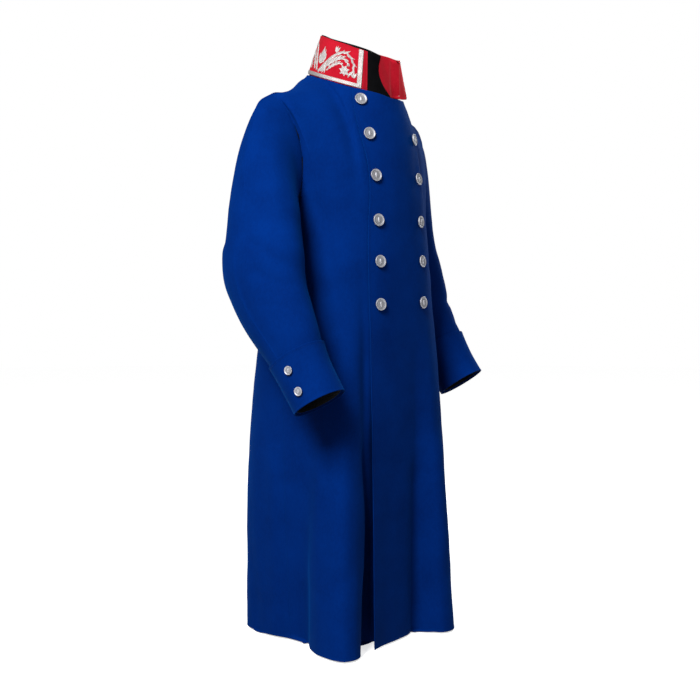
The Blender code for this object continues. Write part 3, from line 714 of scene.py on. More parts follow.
class Face:
    """The outer face of a finished piece, which trim and stitches are laid on."""

    def __init__(self, points: Grid, across: Grid, along: Grid, ring: bool = False) -> None:
        """Keeps the face.

        Args:
            points: its grid.
            across: lengths across at its columns.
            along: lengths along at its rows.
            ring: the last column joins the first.
        """
        if ring:
            points = np.concatenate([points, points[:, :1]], axis=1)
            across = np.append(across, 2 * across[-1] - across[-2])
        self.points, self.across, self.along = points, across, along
        self.normal = normals_of(points)

    def at(self, across: Any, along: Any, lift: Any = 0.0) -> Grid:
        """Points of the face at lengths across and along, moved out by a lift."""
        across, along, lift = np.broadcast_arrays(*(np.asarray(item, float) for item in (across, along, lift)))
        across = np.clip(across, self.across[0], self.across[-1])
        along = np.clip(along, self.along[0], self.along[-1])
        column = np.clip(np.searchsorted(self.across, across, side="right") - 1, 0, len(self.across) - 2)
        row = np.clip(np.searchsorted(self.along, along, side="right") - 1, 0, len(self.along) - 2)
        u = ((across - self.across[column]) / (self.across[column + 1] - self.across[column]))[..., None]
        v = ((along - self.along[row]) / (self.along[row + 1] - self.along[row]))[..., None]

        def blend(values: Grid) -> Grid:
            """The values between the four corners."""
            low = values[row, column] * (1 - u) + values[row, column + 1] * u
            high = values[row + 1, column] * (1 - u) + values[row + 1, column + 1] * u
            return low * (1 - v) + high * v

        return blend(self.points) + blend(self.normal) * lift[..., None]


def lay_grid(mesh: bmesh.types.BMesh, points: Grid, across: Grid, along: Grid) -> list[Any]:
    """Adds a grid of faces through points to a mesh, with its map.

    Args:
        mesh: the mesh.
        points: rows of points.
        across: lengths across at its columns, with one more where the last column joins the first.
        along: lengths along at its rows.

    Returns:
        The grid's vertices.
    """
    layer = mesh.loops.layers.uv.get("cut") or mesh.loops.layers.uv.new("cut")
    wide, high = len(across) - 1, len(along) - 1
    verts = bmesh.ops.create_grid(mesh, x_segments=wide, y_segments=high, size=0.5, calc_uvs=False)["verts"]
    spots = {}
    for vert in verts:
        column, row = round((vert.co.x + 0.5) * wide), round((vert.co.y + 0.5) * high)
        spots[vert] = (float(across[column]), float(along[row]))
        vert.co = points[row, column % points.shape[1]]
    for face in {face for vert in verts for face in vert.link_faces}:
        for corner in face.loops:
            corner[layer].uv = spots[corner.vert]
    return verts


def swept(mesh: bmesh.types.BMesh, rings: Grid) -> None:
    """Adds a closed bar through cross-sections to a mesh, its ends drawn together.

    Args:
        mesh: the mesh.
        rings: stations, then points round each.
    """
    ends = rings[[0, -1]].mean(axis=1, keepdims=True) + np.zeros_like(rings[:1])
    rings = np.concatenate([ends[:1], rings, ends[1:]])
    section = rings[len(rings) // 2]
    around = distances(np.vstack([section, section[:1]]))
    along = distances(rings.mean(axis=1))
    verts = lay_grid(mesh, rings, around, along)
    bmesh.ops.remove_doubles(mesh, verts=verts, dist=1e-7)


def stitch(mesh: bmesh.types.BMesh, middle: Grid, run: Grid, normal: Grid, length: float, thickness: float) -> None:
    """Adds one stitch: a small drop of thread.

    Args:
        mesh: the mesh.
        middle: its middle.
        run: its direction.
        normal: the cloth's normal there.
        length: its length.
        thickness: its thickness.
    """
    run = run / np.linalg.norm(run)
    side = np.cross(normal, run)
    axes = (run * length / 2, side * thickness / 2, normal * thickness / 2)
    place = Matrix([[*(float(axis[row]) for axis in axes), float(middle[row])] for row in range(3)] + [[0, 0, 0, 1]])
    bmesh.ops.create_icosphere(mesh, subdivisions=1, radius=1.0, matrix=place)


def sew(name: str, face: Face, across: Any, along: Any, thread: Cloth, pitch: float = 0.0036) -> None:
    """Sews a row of stitches on a face, as a piece of its own.

    Args:
        name: the piece's name.
        face: the face.
        across: lengths across of the row's middle line, or one length.
        along: lengths along of it, or one length.
        thread: its finish.
        pitch: the length of a stitch with its gap.
    """
    mesh = bmesh.new()
    path = face.at(across, along, THREAD_RISE)
    raised = face.at(across, along, 0.001) - face.at(across, along)
    run = distances(path)

    def on(values: Grid, place: float) -> Grid:
        """The values at a length along the row."""
        return np.array([np.interp(place, run, values[:, axis]) for axis in range(3)])

    for place in np.arange(pitch, run[-1] - pitch, pitch):
        middle, normal = on(path, place), on(raised, place)
        ahead = on(path, place + pitch / 2) - middle
        stitch(mesh, middle, ahead, normal / np.linalg.norm(normal), pitch * 0.72, THREAD)
    new_piece(name, mesh, [thread])


def edge_steps(length: float, step: float) -> Grid:
    """Shares along a length, closer together at both ends where a seam rolls in."""
    *ends, margin = EDGE_PLACES
    middle = np.linspace(margin, length - margin, max(2, round((length - 2 * margin) / step)) + 1)
    return np.array([*ends, *middle, *[length - end for end in reversed(ends)]]) / length


@dataclass
class ClothPiece:
    """One cut piece of cloth on its solid's form, with the creases that cross it."""

    node: str
    creases: Sequence[Crease]
    first: Edge = Edge.NONE
    last: Edge = Edge.NONE
    foot: Edge = Edge.TURNED
    head: Edge = Edge.SET_IN
    slot: str = "blue_wool"
    finish: Cloth = Cloth.BLUE
    inner: Cloth = Cloth.LINING
    wall: float = 0.002
    step: float = 0.0055
    unevenness: float = 0.0009
    head_rise: float = 0.0
    foot_drop: float = 0.0
    rim_reach: float = 0.006
    side_rise: tuple[float, float, float] = (0.0, 0.060, 0.034)
    seam_allowance: float = 0.0
    ring: bool = False
    lying: bool = False
    face: Face = field(init=False)

    def build(self) -> None:
        grid = CutGrid(self.node, self.wall, self.ring, self.lying)
        width, height = grid.size()
        across = np.linspace(0, 1, round(width / self.step) + 1)[:-1] if self.ring else edge_steps(width, self.step)
        along = edge_steps(height, self.step)
        outer = self.folded(grid.fine(across, along), across * width, along * height)
        self.face = Face(outer, across * width, along * height, self.ring)
        piece = self.walled(outer, across * width, along * height)
        min(width * height, self._area(outer))

    def _area(self, outer: Grid) -> float:
        """The area of the grid."""
        outer = np.concatenate([outer, outer[:, :1]], axis=1) if self.ring else outer
        return float(np.linalg.norm(cells(outer), axis=2).sum() / 2)

    def folded(self, outer: Grid, across: Grid, along: Grid) -> Grid:
        """Moves the face out and in: the creases, the unevenness and the edges.

        Args:
            outer: the smooth face.
            across: lengths across at its columns.
            along: lengths along at its rows.

        Returns:
            The face with its folds.
        """
        outer = outer if self.ring else relaxed(outer)
        normal = normals_of(outer, self.ring)
        lift = np.zeros(outer.shape[:2])
        for crease in self.creases:
            if not crease.only or self.node in crease.only:
                lift += crease.lift(outer)
        for share, size, seed in RIPPLES:
            lift += self.unevenness * share * ripple(outer, size, seed)
        lift -= self.foot.dip(along[:, None]) + self.head.dip(along[-1] - along[:, None])
        if not self.ring:
            lift -= self.first.dip(across[None, :]) + self.last.dip(across[-1] - across[None, :])
        outer = outer + normal * lift[..., None]
        for edge, beside in ((0, 1), (-1, -2)):
            outward = outer[:, edge] - outer[:, beside]
            outward /= np.linalg.norm(outward, axis=1, keepdims=True)
            outer[:, edge] += (outward - normal[:, edge]) * self.seam_allowance
        outer[..., 2] += self.head_rise * near_edge(along[-1] - along, self.rim_reach)[:, None]
        outer[..., 2] -= self.foot_drop * near_edge(along, self.rim_reach)[:, None]
        rise, place, reach = self.side_rise
        ends = np.minimum(across, across[-1] - across)
        outer[..., 2] += rise * near_edge(ends - place, reach) * (along / along[-1])[:, None] ** 2
        return outer

    def walled(self, outer: Grid, across: Grid, along: Grid) -> Any:
        """Turns the face into a thin shell.

        Args:
            outer: the face.
            across: lengths across, for the map.
            along: lengths along, for the map.

        Returns:
            The piece.
        """
        mesh = bmesh.new()
        if self.ring:
            across = np.append(across, across[-1] + (across[1] - across[0]))
        lay_grid(mesh, outer, across, along)
        if self.ring:
            bmesh.ops.remove_doubles(mesh, verts=mesh.verts, dist=1e-6)
        self.thicken(mesh)
        return new_piece(f"cloth_{self.node}", mesh, [self.finish, self.inner], [self.node])

    def thicken(self, mesh: bmesh.types.BMesh) -> None:
        """Gives the sheet its thickness inwards; its inner faces get the second finish."""
        mesh.normal_update()
        depth = self.wall * 0.9
        inner = {tuple(round(part, 7) for part in vert.co): vert.co - vert.normal * depth for vert in mesh.verts}
        rim = [edge for edge in mesh.edges if edge.is_boundary]
        sheet = mesh.verts[:] + mesh.edges[:] + mesh.faces[:]
        doubled = bmesh.ops.duplicate(mesh, geom=sheet)["geom"]
        under = [item for item in doubled if isinstance(item, bmesh.types.BMFace)]
        bmesh.ops.reverse_faces(mesh, faces=under)
        for face in under:
            face.material_index = 1
        grown = bmesh.ops.extrude_edge_only(mesh, edges=rim)["geom"]
        for vert in (item for item in [*doubled, *grown] if isinstance(item, bmesh.types.BMVert)):
            vert.co = inner[tuple(round(part, 7) for part in vert.co)]
        bmesh.ops.remove_doubles(mesh, verts=mesh.verts, dist=1e-6)


@dataclass
class Body:
    """Both fronts and the back, and the stitches along the fastening edge."""

    creases: tuple[Crease, ...]
    stitch_inset: float = 0.0055
    stitch_ends: tuple[float, float] = (0.004, 0.006)
    stitch_points: int = 300
    seam_allowance: float = 0.0022

    def build(self) -> None:
        """Builds the three panels, and sews along the free edge of the upper front."""
        sides = {
            "front_right": (Edge.FLUSH, Edge.TURNED),
            "front_left": (Edge.TURNED, Edge.FLUSH),
            "back": (Edge.FLUSH, Edge.FLUSH),
        }
        made = {node: ClothPiece(node, self.creases, *ends, unevenness=0.0011) for node, ends in sides.items()}
        made["back"].seam_allowance = self.seam_allowance
        for piece in made.values():
            piece.build()
        face = made["front_left"].face
        low, high = self.stitch_ends
        along = np.linspace(face.along[0] + low, face.along[-1] - high, self.stitch_points)
        sew("stitches_front", face, face.across[0] + self.stitch_inset, along, Cloth.THREAD)


@dataclass
class Sleeves:
    """Both sleeves, each of an upper and an under piece, and their cuffs."""

    creases: tuple[Crease, ...]
    stitch_inset: float = 0.0045
    stitch_points: int = 200

    def build(self) -> None:
        """Builds the sleeves' pieces."""
        for side in ("right", "left"):
            hind_first = side == "right"
            for part in ("upper", "under"):
                hind = Edge.LIP if part == "upper" else Edge.SEAM
                ends = (hind, Edge.SEAM) if (part == "upper") == hind_first else (Edge.SEAM, hind)
                ClothPiece(f"sleeve_{part}_{side}", self.creases, *ends).build()
            self.cuff(side)

    def cuff(self, side: str) -> None:
        """Builds a turned cuff and sews its upper edge."""
        cuff = {"head": Edge.TURNED, "inner": Cloth.BLUE, "wall": 0.0025, "step": 0.004, "ring": True}
        piece = ClothPiece(f"cuff_{side}", self.creases, **cuff)
        piece.build()
        face = piece.face
        across = np.linspace(face.across[0], face.across[-1], self.stitch_points)
        sew(f"stitches_cuff_{side}", face, across, face.along[-1] - self.stitch_inset, Cloth.THREAD)


@dataclass(frozen=True)
class Leaf:
    """A padded leaf of satin stitch: where it starts, its heading in degrees, length, width and bend."""

    end: float
    up: float
    heading: float
    length: float
    width: float
    bend: float = 30.0
    lobes: float = 3.0


@dataclass(frozen=True)
class Stem:
    """A curved stem with leaves on both its sides."""

    line: tuple[tuple[float, float], ...]
    width: float
    leaves: int = 0
    leaf_length: float = 0.012
    leaf_width: float = 0.0042
    spread: float = 42.0
    taper: float = 0.5
    sides: tuple[int, ...] = (1, -1)


@dataclass
class Embroidery:
    """A traditional leaf scroll in silver thread for one half of the collar, in lengths from its front end and up."""

    side: str
    face: Face
    stems: tuple[Stem, ...]
    leaves: tuple[Leaf, ...]
    height: float = 0.0011
    sunk: float = 0.0004
    section: tuple[tuple[float, float], ...] = (
        (-1.0, 0.0), (-0.86, 0.55), (-0.48, 1.0), (0.0, 0.62), (0.48, 1.0), (0.86, 0.55), (1.0, 0.0),
    )

    def build(self) -> None:
        """Builds the scroll."""
        mesh = bmesh.new()
        for stem in self.stems:
            self.stem(mesh, stem)
        for leaf in self.leaves:
            self.leaf(mesh, leaf)
        new_piece(f"embroidery_{self.side}", mesh, [Cloth.EMBROIDERY])

    def across(self, end: Grid) -> Grid:
        """Lengths across the collar for lengths from this half's front end."""
        return self.face.across[-1] - end if self.side == "right" else end

    def bar(self, mesh: bmesh.types.BMesh, line: Grid, half: Grid, height: Grid) -> None:
        """Adds a padded bar along a line.

        Args:
            mesh: the mesh.
            line: its middle, as lengths from the end and up.
            half: its half width at each point.
            height: its height at each point.
        """
        run = np.gradient(line, axis=0)
        run /= np.maximum(np.linalg.norm(run, axis=1, keepdims=True), 1e-9)
        side = np.stack([-run[:, 1], run[:, 0]], axis=1)
        rings = []
        for offset, rise in self.section:
            spot = line + side * (half * offset)[:, None]
            lift = height * rise - (0 if rise else self.sunk)
            rings.append(self.face.at(self.across(spot[:, 0]), spot[:, 1], lift))
        ring = np.stack(rings, axis=1)
        swept(mesh, ring if self.side == "left" else ring[:, ::-1])

    def stem(self, mesh: bmesh.types.BMesh, stem: Stem) -> None:
        """Adds a stem and its leaves."""
        points = np.array(stem.line) / 1000.0
        line = smooth_path(points, np.linspace(0, 1, max(12, 7 * len(points))))
        share = np.linspace(0, 1, len(line))
        half = stem.width / 2 * (1 - stem.taper * share)
        self.bar(mesh, line, half, np.full(len(line), self.height * 0.85))
        for index in range(stem.leaves):
            place = (index + 0.7) / (stem.leaves + 0.3)
            spot = [float(np.interp(place, share, line[:, axis])) for axis in range(2)]
            ahead = [float(np.interp(min(1.0, place + 0.02), share, line[:, axis])) for axis in range(2)]
            heading = math.degrees(math.atan2(ahead[1] - spot[1], ahead[0] - spot[0]))
            size = math.sin(math.pi * (0.25 + 0.6 * place))
            for turn in stem.sides:
                length, width = stem.leaf_length * size, stem.leaf_width * (0.6 + 0.4 * size)
                self.leaf(mesh, Leaf(*spot, heading + turn * stem.spread, length, width, turn * -38.0))

    def leaf(self, mesh: bmesh.types.BMesh, leaf: Leaf, stations: int = 17) -> None:
        """Adds a leaf with lobed sides and a groove down its middle."""
        share = np.linspace(0, 1, stations)
        turn = np.radians(leaf.heading + leaf.bend * share)
        steps = np.stack([np.cos(turn), np.sin(turn)], axis=1) * leaf.length / (stations - 1)
        line = np.array((leaf.end, leaf.up)) + np.cumsum(steps, axis=0) - steps[0]
        body = np.sin(math.pi * np.clip(share, 0.02, 0.985) ** 0.8) ** 0.8
        half = leaf.width / 2 * body * (1 + 0.20 * np.cos(2 * math.pi * leaf.lobes * share))
        self.bar(mesh, line, np.maximum(half, 0.00015), self.height * (0.45 + 0.55 * body))


@dataclass
class Collar:
    """The stand collar with its lining, braid and embroidery."""

    creases: tuple[Crease, ...]
    foot_band: float = 0.0076
    foot_gap: float = 0.0012
    foot_ribs: int = 230
    front_ribs: int = 84
    top_gap: float = 0.0010
    least_side: float = 0.0100
    cloth_width: float = 0.0088
    front_near: tuple[float, float] = (0.0125, 0.0088)
    front_far: tuple[float, float] = (0.0212, 0.0200)
    braid_height: float = 0.0012
    band_section: tuple[tuple[float, float], ...] = (
        (0.0, 0.0), (0.0, 0.75), (0.09, 1.15), (0.18, 0.75), (0.34, 0.90),
        (0.66, 0.90), (0.82, 0.75), (0.91, 1.15), (1.0, 0.75), (1.0, 0.0),
    )
    stitch_inset: float = 0.0028
    stitch_end: float = 0.004
    stitch_points: int = 300
    stitch_pitch: float = 0.0044

    def build(self) -> None:
        """Builds the collar and its trim, and sews along its upper edge."""
        collar = ClothPiece(
            "collar", self.creases, Edge.NONE, Edge.CURLED, Edge.SEAM, Edge.TURNED, "red_wool", Cloth.RED, Cloth.RED,
            step=0.004, unevenness=0.0005, side_rise=(0.0045, 0.060, 0.034), lying=True,
        )
        collar.build()
        ClothPiece(
            "collar_lining", self.creases, foot=Edge.NONE, head=Edge.NONE, slot="black_lining", finish=Cloth.LINING,
            wall=0.001, step=0.006, unevenness=0.0005, head_rise=0.0030, foot_drop=0.0060, lying=True,
        ).build()
        for side in ("left", "right"):
            self.braid(side, collar.face)
            Embroidery(side, collar.face, SCROLL_STEMS, SCROLL_LEAVES).build()
        face = collar.face
        across = np.linspace(face.across[0] + self.stitch_end, face.across[-1] - self.stitch_end, self.stitch_points)
        along = face.along[-1] - self.stitch_inset
        sew("stitches_collar", face, across, along, Cloth.RED_THREAD, self.stitch_pitch)

    def band(self, mesh: bmesh.types.BMesh, face: Face, side: str, first: Grid, second: Grid) -> float:
        """Adds one ribbed band between two lines.

        Args:
            mesh: the mesh.
            face: the collar's face.
            side: the half that it lies on.
            first: one edge, as lengths from the half's front end and up.
            second: the other edge.

        Returns:
            The band's length.
        """
        rib = 1.0 + 0.16 * np.cos(math.pi * np.arange(len(first)))
        rings = []
        for share, rise in self.band_section:
            spot = first + (second - first) * share
            across = face.across[-1] - spot[:, 0] if side == "right" else spot[:, 0]
            lift = self.braid_height * rise * rib if rise else np.full(len(first), -0.0003)
            rings.append(face.at(across, spot[:, 1], lift))
        ring = np.stack(rings, axis=1)
        swept(mesh, ring if side == "right" else ring[:, ::-1])
        return float(distances((first + second) / 2)[-1])

    def braid(self, side: str, face: Face) -> None:
        """Builds one half's braid: along the foot to the middle of the back, and up the front."""
        mesh = bmesh.new()
        middle = (face.across[0] + face.across[-1]) / 2
        ends = np.linspace(self.front_far[0] - 0.004, middle - 0.0002, self.foot_ribs)
        foot = np.stack([ends, np.full(self.foot_ribs, self.foot_gap)], axis=1)
        length = self.band(mesh, face, side, foot, foot + (0.0, self.foot_band))
        share = np.linspace(0, 1, self.front_ribs)
        ups = self.foot_gap + (face.along[-1] - self.top_gap - self.foot_gap) * share
        near, far = (
            np.stack([low + (high - low) * share, ups], axis=1) for low, high in (self.front_near, self.front_far)
        )
        length += self.band(mesh, face, side, far, near)
        name = f"collar_braid_{side}"
        piece = new_piece(f"silver_braid_{side}", mesh, [Cloth.BRAID], [name])


@dataclass
class Buttons:
    """The silvered buttons: a smooth rim, a fine milled ring, a matt field and an upright oval boss."""

    segments: int = 72
    profile: tuple[tuple[float, float], ...] = (
        (0.0, 0.0), (0.42, 0.0), (0.44, 0.36), (0.90, 0.40), (0.975, 0.52), (1.0, 0.70), (0.985, 0.88), (0.945, 0.97),
        (0.900, 0.93), (0.872, 0.82), (0.840, 0.86), (0.800, 0.86), (0.770, 0.72), (0.60, 0.76), (0.35, 0.80),
        (0.0, 0.82),
    )
    face_share: float = 0.6
    field_share: float = 0.78
    milled: tuple[float, float] = (0.79, 0.85)
    boss: tuple[float, float, float] = (0.22, 0.46, 0.20)

    def build(self) -> None:
        """Builds every button in its solid's place."""
        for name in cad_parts:
            if "button" in name:
                self.button(name)

    @staticmethod
    def setting(name: str) -> tuple[Matrix, float, float]:
        """The place, radius and thickness of a button's solid.

        Args:
            name: the solid's name.

        Returns:
            A matrix from the button's own axes, its z outwards and its y up, then the radius and the thickness.
        """
        points = np.array([tuple(vert.co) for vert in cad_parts[name].data.vertices])
        points = np.unique(np.round(points, 6), axis=0)
        middle = (points.min(axis=0) + points.max(axis=0)) / 2
        axis = np.linalg.svd(points - points.mean(axis=0))[2][2]
        core = np.array((0.0, 0.0, middle[2]))
        if name.startswith("cuff"):
            core = np.array((-0.255 if "right" in name else 0.255, -0.11, middle[2]))
        axis = axis if axis @ (middle - core) > 0 else -axis
        side = np.cross((0.0, 0.0, 1.0), axis)
        side /= np.linalg.norm(side)
        axes = np.stack([side, np.cross(axis, side), axis])
        local = (points - middle) @ axes.T
        low, high = local.min(axis=0), local.max(axis=0)
        centre = middle + np.array(((low[0] + high[0]) / 2, (low[1] + high[1]) / 2, low[2])) @ axes
        place = np.vstack([np.column_stack([axes.T, centre]), (0, 0, 0, 1)])
        return Matrix(place.tolist()), float((high - low)[:2].max() / 2), float((high - low)[2])

    def button(self, name: str) -> None:
        """Builds one button."""
        place, radius, depth = self.setting(name)
        mesh = bmesh.new()
        verts = [mesh.verts.new((reach * radius, 0.0, rise * depth)) for reach, rise in self.profile]
        edges = [mesh.edges.new(pair) for pair in zip(verts, verts[1:])]
        bmesh.ops.spin(
            mesh, geom=verts + edges, cent=(0, 0, 0), axis=(0, 0, 1), angle=2 * math.pi, steps=self.segments,
            use_merge=True, use_duplicate=False,
        )
        bmesh.ops.remove_doubles(mesh, verts=mesh.verts, dist=1e-6)
        bmesh.ops.recalc_face_normals(mesh, faces=mesh.faces)
        face_height = self.face_share * depth
        for face in mesh.faces:
            middle = face.calc_center_median()
            face.material_index = int(middle.xy.length < self.field_share * radius and middle.z > face_height)
        for vert in mesh.verts:
            if self.milled[0] < vert.co.xy.length / radius < self.milled[1] and vert.co.z > face_height:
                vert.co.z += 0.05 * depth * math.cos(self.segments / 2 * math.atan2(vert.co.y, vert.co.x))
        wide, tall, thick = (share * radius for share in self.boss)
        shape = Matrix.Translation((0, 0, 0.80 * depth)) @ Matrix.Diagonal((wide, tall, min(thick, 0.30 * depth), 1))
        bmesh.ops.create_uvsphere(mesh, u_segments=32, v_segments=16, radius=1.0, matrix=shape)
        bmesh.ops.transform(mesh, matrix=place, verts=mesh.verts)
        new_piece(f"silver_{name}", mesh, [Cloth.BUTTON, Cloth.BUTTON_FIELD], [name])


@dataclass
class Studio:
    """Camera, lights and floor."""

    azimuth: float = -45.0
    distance: float = 2.066
    height: float = -0.55
    lens: float = 50.0
    floor_drop: float = 0.004
    floor_half: float = 30.0
    surround: float = 0.34
    aim: Colour = (0.0, 0.0, -0.2)

    def build(self) -> None:
        """Builds the studio."""
        self.camera()
        self.lights()
        self.world()
        self.floor()

    def camera(self) -> None:
        """Puts the camera at the photograph's angle."""
        data = bpy.data.cameras.new("camera")
        data.lens = self.lens
        data.sensor_width = 36.0
        data.clip_start = 0.05
        camera = bpy.data.objects.new("camera", data)
        turn = math.radians(self.azimuth)
        place = Vector((math.sin(turn), -math.cos(turn), 0.0)) * self.distance
        camera.location = place + Vector((0, 0, self.height))
        camera.rotation_euler = (math.pi / 2, 0.0, turn)
        bpy.context.scene.collection.objects.link(camera)
        bpy.context.scene.camera = camera

    def light(self, name: str, place: Colour, size: float, power: float, colour: Colour = (1, 1, 1)) -> None:
        """Adds a soft light that looks at the coat."""
        data = bpy.data.lights.new(name, "AREA")
        data.size, data.energy, data.color = size, power, colour
        lamp = bpy.data.objects.new(name, data)
        lamp.location = place
        lamp.rotation_euler = (Vector(self.aim) - Vector(place)).to_track_quat("-Z", "Y").to_euler()
        bpy.context.scene.collection.objects.link(lamp)

    def lights(self) -> None:
        """Sets the key from the wearer's right, a fill and a light from behind."""
        self.light("key", (-2.6, -1.0, 1.5), 1.2, 215.0)
        self.light("fill", (0.6, -2.3, 1.5), 1.6, 12.0)
        self.light("rim", (2.4, 0.3, 0.8), 0.9, 34.0, (0.85, 0.95, 1.0))

    def world(self) -> None:
        """Sets an even surround that the camera sees as plain white."""
        world = bpy.data.worlds.new("surround")
        world.use_nodes = True
        nodes = Nodes(world.node_tree)
        even = nodes.tree.nodes["Background"]
        nodes.feed(even.inputs["Color"], (1, 1, 1))
        nodes.feed(even.inputs["Strength"], self.surround)
        plain = nodes.node("ShaderNodeBackground", Color=(1, 1, 1))
        seen = nodes.node("ShaderNodeLightPath").outputs["Is Camera Ray"]
        joined = nodes.node("ShaderNodeMixShader", s0=seen, s1=even.outputs[0], s2=plain.outputs[0])
        nodes.feed(nodes.tree.nodes["World Output"].inputs["Surface"], joined.outputs[0])
        bpy.context.scene.world = world
        bpy.context.scene.view_settings.view_transform = "Standard"

    def floor(self) -> None:
        """Lays the floor just under the hem."""
        mesh = bmesh.new()
        bmesh.ops.create_grid(mesh, x_segments=1, y_segments=1, size=self.floor_half)
        bmesh.ops.translate(mesh, verts=mesh.verts, vec=(0, 0, CAD_BOX[0][2] - self.floor_drop))
        data = bpy.data.meshes.new("floor")
        mesh.to_mesh(data)
        mesh.free()
        data.materials.append(Floor().material())
        floor = bpy.data.objects.new("floor", data)
        floor.visible_diffuse = False
        bpy.context.scene.collection.objects.link(floor)


RIGHT_FRONT, LEFT_FRONT, BACK = ("front_right",), ("front_left",), ("back",)
BODY_CREASES = (
    Crease(((-134, -121, -500), (-146, -127, -650), (-156, -137, -840), (-165, -143, -1000)), 6, 24, fade_end=0.15),
    Crease(((-182, -75, -580), (-177, -58, -780), (-165, -35, -950), (-148, -6, -1140)), -8.5, 28, fade_end=0.0),
    Crease(((-98, -128, -340), (-96, -139, -550), (-98, -141, -686), (-94, -140, -780), (-84, -132, -860)), -6, 13,
           fade_start=0.5, fade_end=0.15, only=RIGHT_FRONT),
    Crease(((-97, -141, -700), (-86, -133, -845), (-74, -122, -930), (-64, -112, -1030), (-60, -105, -1140)), -8.5,
           13, fade_start=0.2, fade_end=0.0, only=RIGHT_FRONT),
    Crease(((-175, -45, -235), (-150, -88, -300), (-120, -115, -400)), -2.5, 14),
    Crease(((-140, -40, -50), (-125, -75, -120), (-120, -100, -240)), 3, 30),
    Crease(((-178, 40, -700), (-172, 50, -920), (-160, 60, -1140)), 4, 20, fade_end=0.0),
    Crease(((60, -128, -740), (69, -123, -980), (80, -115, -1140)), -7.5, 20, fade_end=0.0, only=LEFT_FRONT),
    Crease(((110, -150, -700), (118, -158, -880), (124, -161, -1020)), 5, 20, only=LEFT_FRONT),
    Crease(((172, -50, -240), (148, -85, -320), (110, -115, -410)), -2.8, 13),
    Crease(((140, -40, -50), (130, -70, -130), (115, -100, -250)), 3, 28),
    Crease(((182, 20, -660), (178, 40, -900), (168, 55, -1140)), 4.2, 22, fade_end=0.0),
    Crease(((30, 170, -500), (30, 195, -800), (30, 198, -1140)), -5, 25, fade_end=0.0, only=BACK),
    Crease(((-50, 160, -520), (-70, 180, -800), (-85, 180, -1140)), 4.5, 22, fade_end=0.0, only=BACK),
    Crease(((100, 130, -560), (115, 140, -850), (125, 140, -1140)), -4.5, 20, fade_end=0.0, only=BACK),
    Crease(((-130, 120, -600), (-140, 125, -850), (-150, 120, -1140)), -3.8, 18, fade_end=0.0, only=BACK),
    Crease(((-140, 70, -100), (-125, 100, -220), (-100, 130, -400)), 4, 20, only=BACK),
    Crease(((145, 65, -120), (130, 100, -250), (90, 130, -370)), 3.4, 22, only=BACK),
    Crease(((-160, 90, -420), (-80, 150, -450), (0, 160, -440)), -2.5, 12, only=BACK),
    Crease(((155, 90, -450), (90, 145, -475), (20, 160, -465)), -2.2, 11, only=BACK),
)
SLEEVE_CREASES = (
    Crease(((-262, -132, -440), (-295, -100, -425), (-318, -50, -395)), -4, 10),
    Crease(((-268, -125, -405), (-300, -92, -375), (-318, -30, -335)), -2.5, 10),
    Crease(((-250, -140, -470), (-285, -115, -475), (-312, -70, -462)), -2.5, 9),
    Crease(((-215, -10, -55), (-245, -25, -120), (-265, -45, -200)), -2, 12),
    Crease(((-250, -50, -120), (-275, -75, -240), (-280, -97, -330)), 3, 16),
    Crease(((-300, 30, -360), (-290, 50, -340), (-260, 70, -330)), -3, 10),
    Crease(((258, -45, -450), (300, -25, -430), (314, 20, -400)), -4, 10),
    Crease(((258, -22, -400), (300, 5, -370), (312, 45, -335)), -2.5, 10),
    Crease(((255, -62, -490), (290, -50, -490), (308, -10, -470)), -2.5, 9),
    Crease(((215, 20, -60), (250, 15, -120), (268, 20, -200)), -2, 12),
    Crease(((250, -20, -120), (272, -35, -240), (278, -50, -330)), 2.8, 15),
    Crease(((300, 60, -360), (285, 85, -340), (255, 100, -330)), -2.8, 10),
)
COLLAR_CREASES = (
    Crease(((60, -69, 60), (73, -57, 27), (88, -47, -6)), -4.2, 7.5, 0, 0),
    Crease(((55, -86, 55), (69, -74, 23), (82, -64, -10)), 5, 6, 0, 0),
)
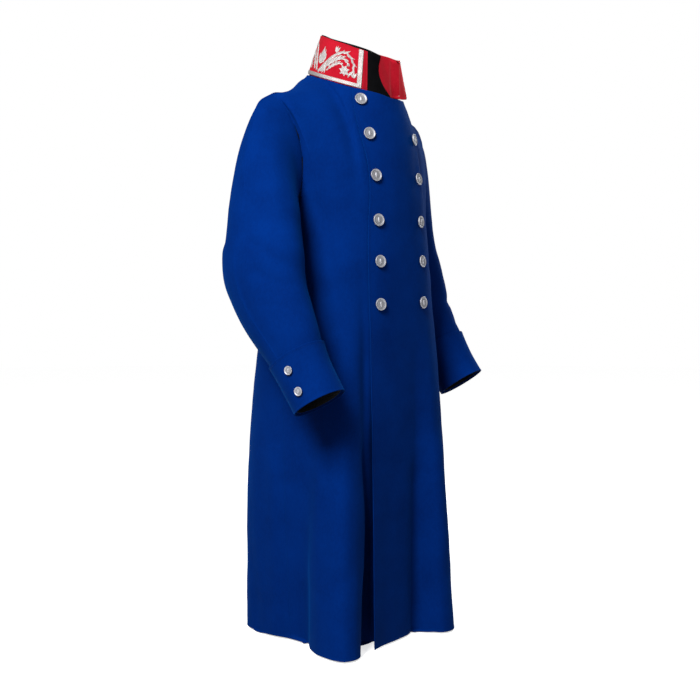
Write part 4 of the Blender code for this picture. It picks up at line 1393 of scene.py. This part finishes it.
SCROLL_STEMS = (
    Stem(((116, 12), (104, 32), (86, 54), (62, 68), (40, 62), (30, 46), (32, 30), (42, 23), (51, 28)),
         0.0058, 10, 0.0270, 0.0056, 22.0, sides=(1,)),
    Stem(((108, 14), (96, 30), (80, 46), (62, 55), (47, 50), (42, 43)),
         0.0044, 8, 0.0165, 0.0046, 30.0, sides=(-1, 1)),
    Stem(((92, 20), (82, 32), (68, 42), (57, 42)), 0.0034, 5, 0.0110, 0.0040, 34.0),
    Stem(((122, 14), (138, 40), (160, 64), (188, 66), (208, 54), (212, 36), (202, 23), (190, 26)),
         0.0056, 10, 0.0260, 0.0055, 22.0, sides=(-1,)),
    Stem(((132, 16), (148, 36), (168, 50), (188, 50), (197, 42)), 0.0042, 7, 0.0160, 0.0045, 30.0),
    Stem(((150, 16), (162, 28), (174, 34), (182, 32)), 0.0032, 4, 0.0108, 0.0038, 34.0),
    Stem(((220, 14), (226, 34), (236, 54)), 0.0034, 4, 0.0150, 0.0056, 34.0),
)
SCROLL_LEAVES = (
    *(Leaf(0.0500, 0.0300, 360.0 / 7 * turn, 0.0125, 0.0074, 8.0, 2.0) for turn in range(7)),
    *(Leaf(0.1880, 0.0340, 360.0 / 7 * turn + 20, 0.0120, 0.0070, 8.0, 2.0) for turn in range(7)),
    *(Leaf(0.1180, 0.0300, angle, length, 0.0084, bend) for angle, length, bend in (
        (38, 0.026, 42), (64, 0.032, 30), (90, 0.038, -14), (112, 0.033, -34), (136, 0.026, -46))),
    *(Leaf(0.0270, 0.0190, angle, 0.0130, 0.0052, 14.0) for angle in (40, 75, 105)),
    *(Leaf(0.1020, 0.0300, angle, 0.0190, 0.0062, 14.0) for angle in (-118, -96, -74)),
    *(Leaf(0.0820, 0.0620, angle, 0.0150, 0.0058, 12.0) for angle in (60, 84, 112)),
)


def main() -> None:
    """Builds the coat and its studio."""
    logging.basicConfig(level=logging.INFO, format="%(message)s")
    Body(BODY_CREASES).build()
    Sleeves(SLEEVE_CREASES).build()
    Collar(COLLAR_CREASES).build()
    Buttons().build()
    Studio().build()


if __name__ == "__main__":
    main()
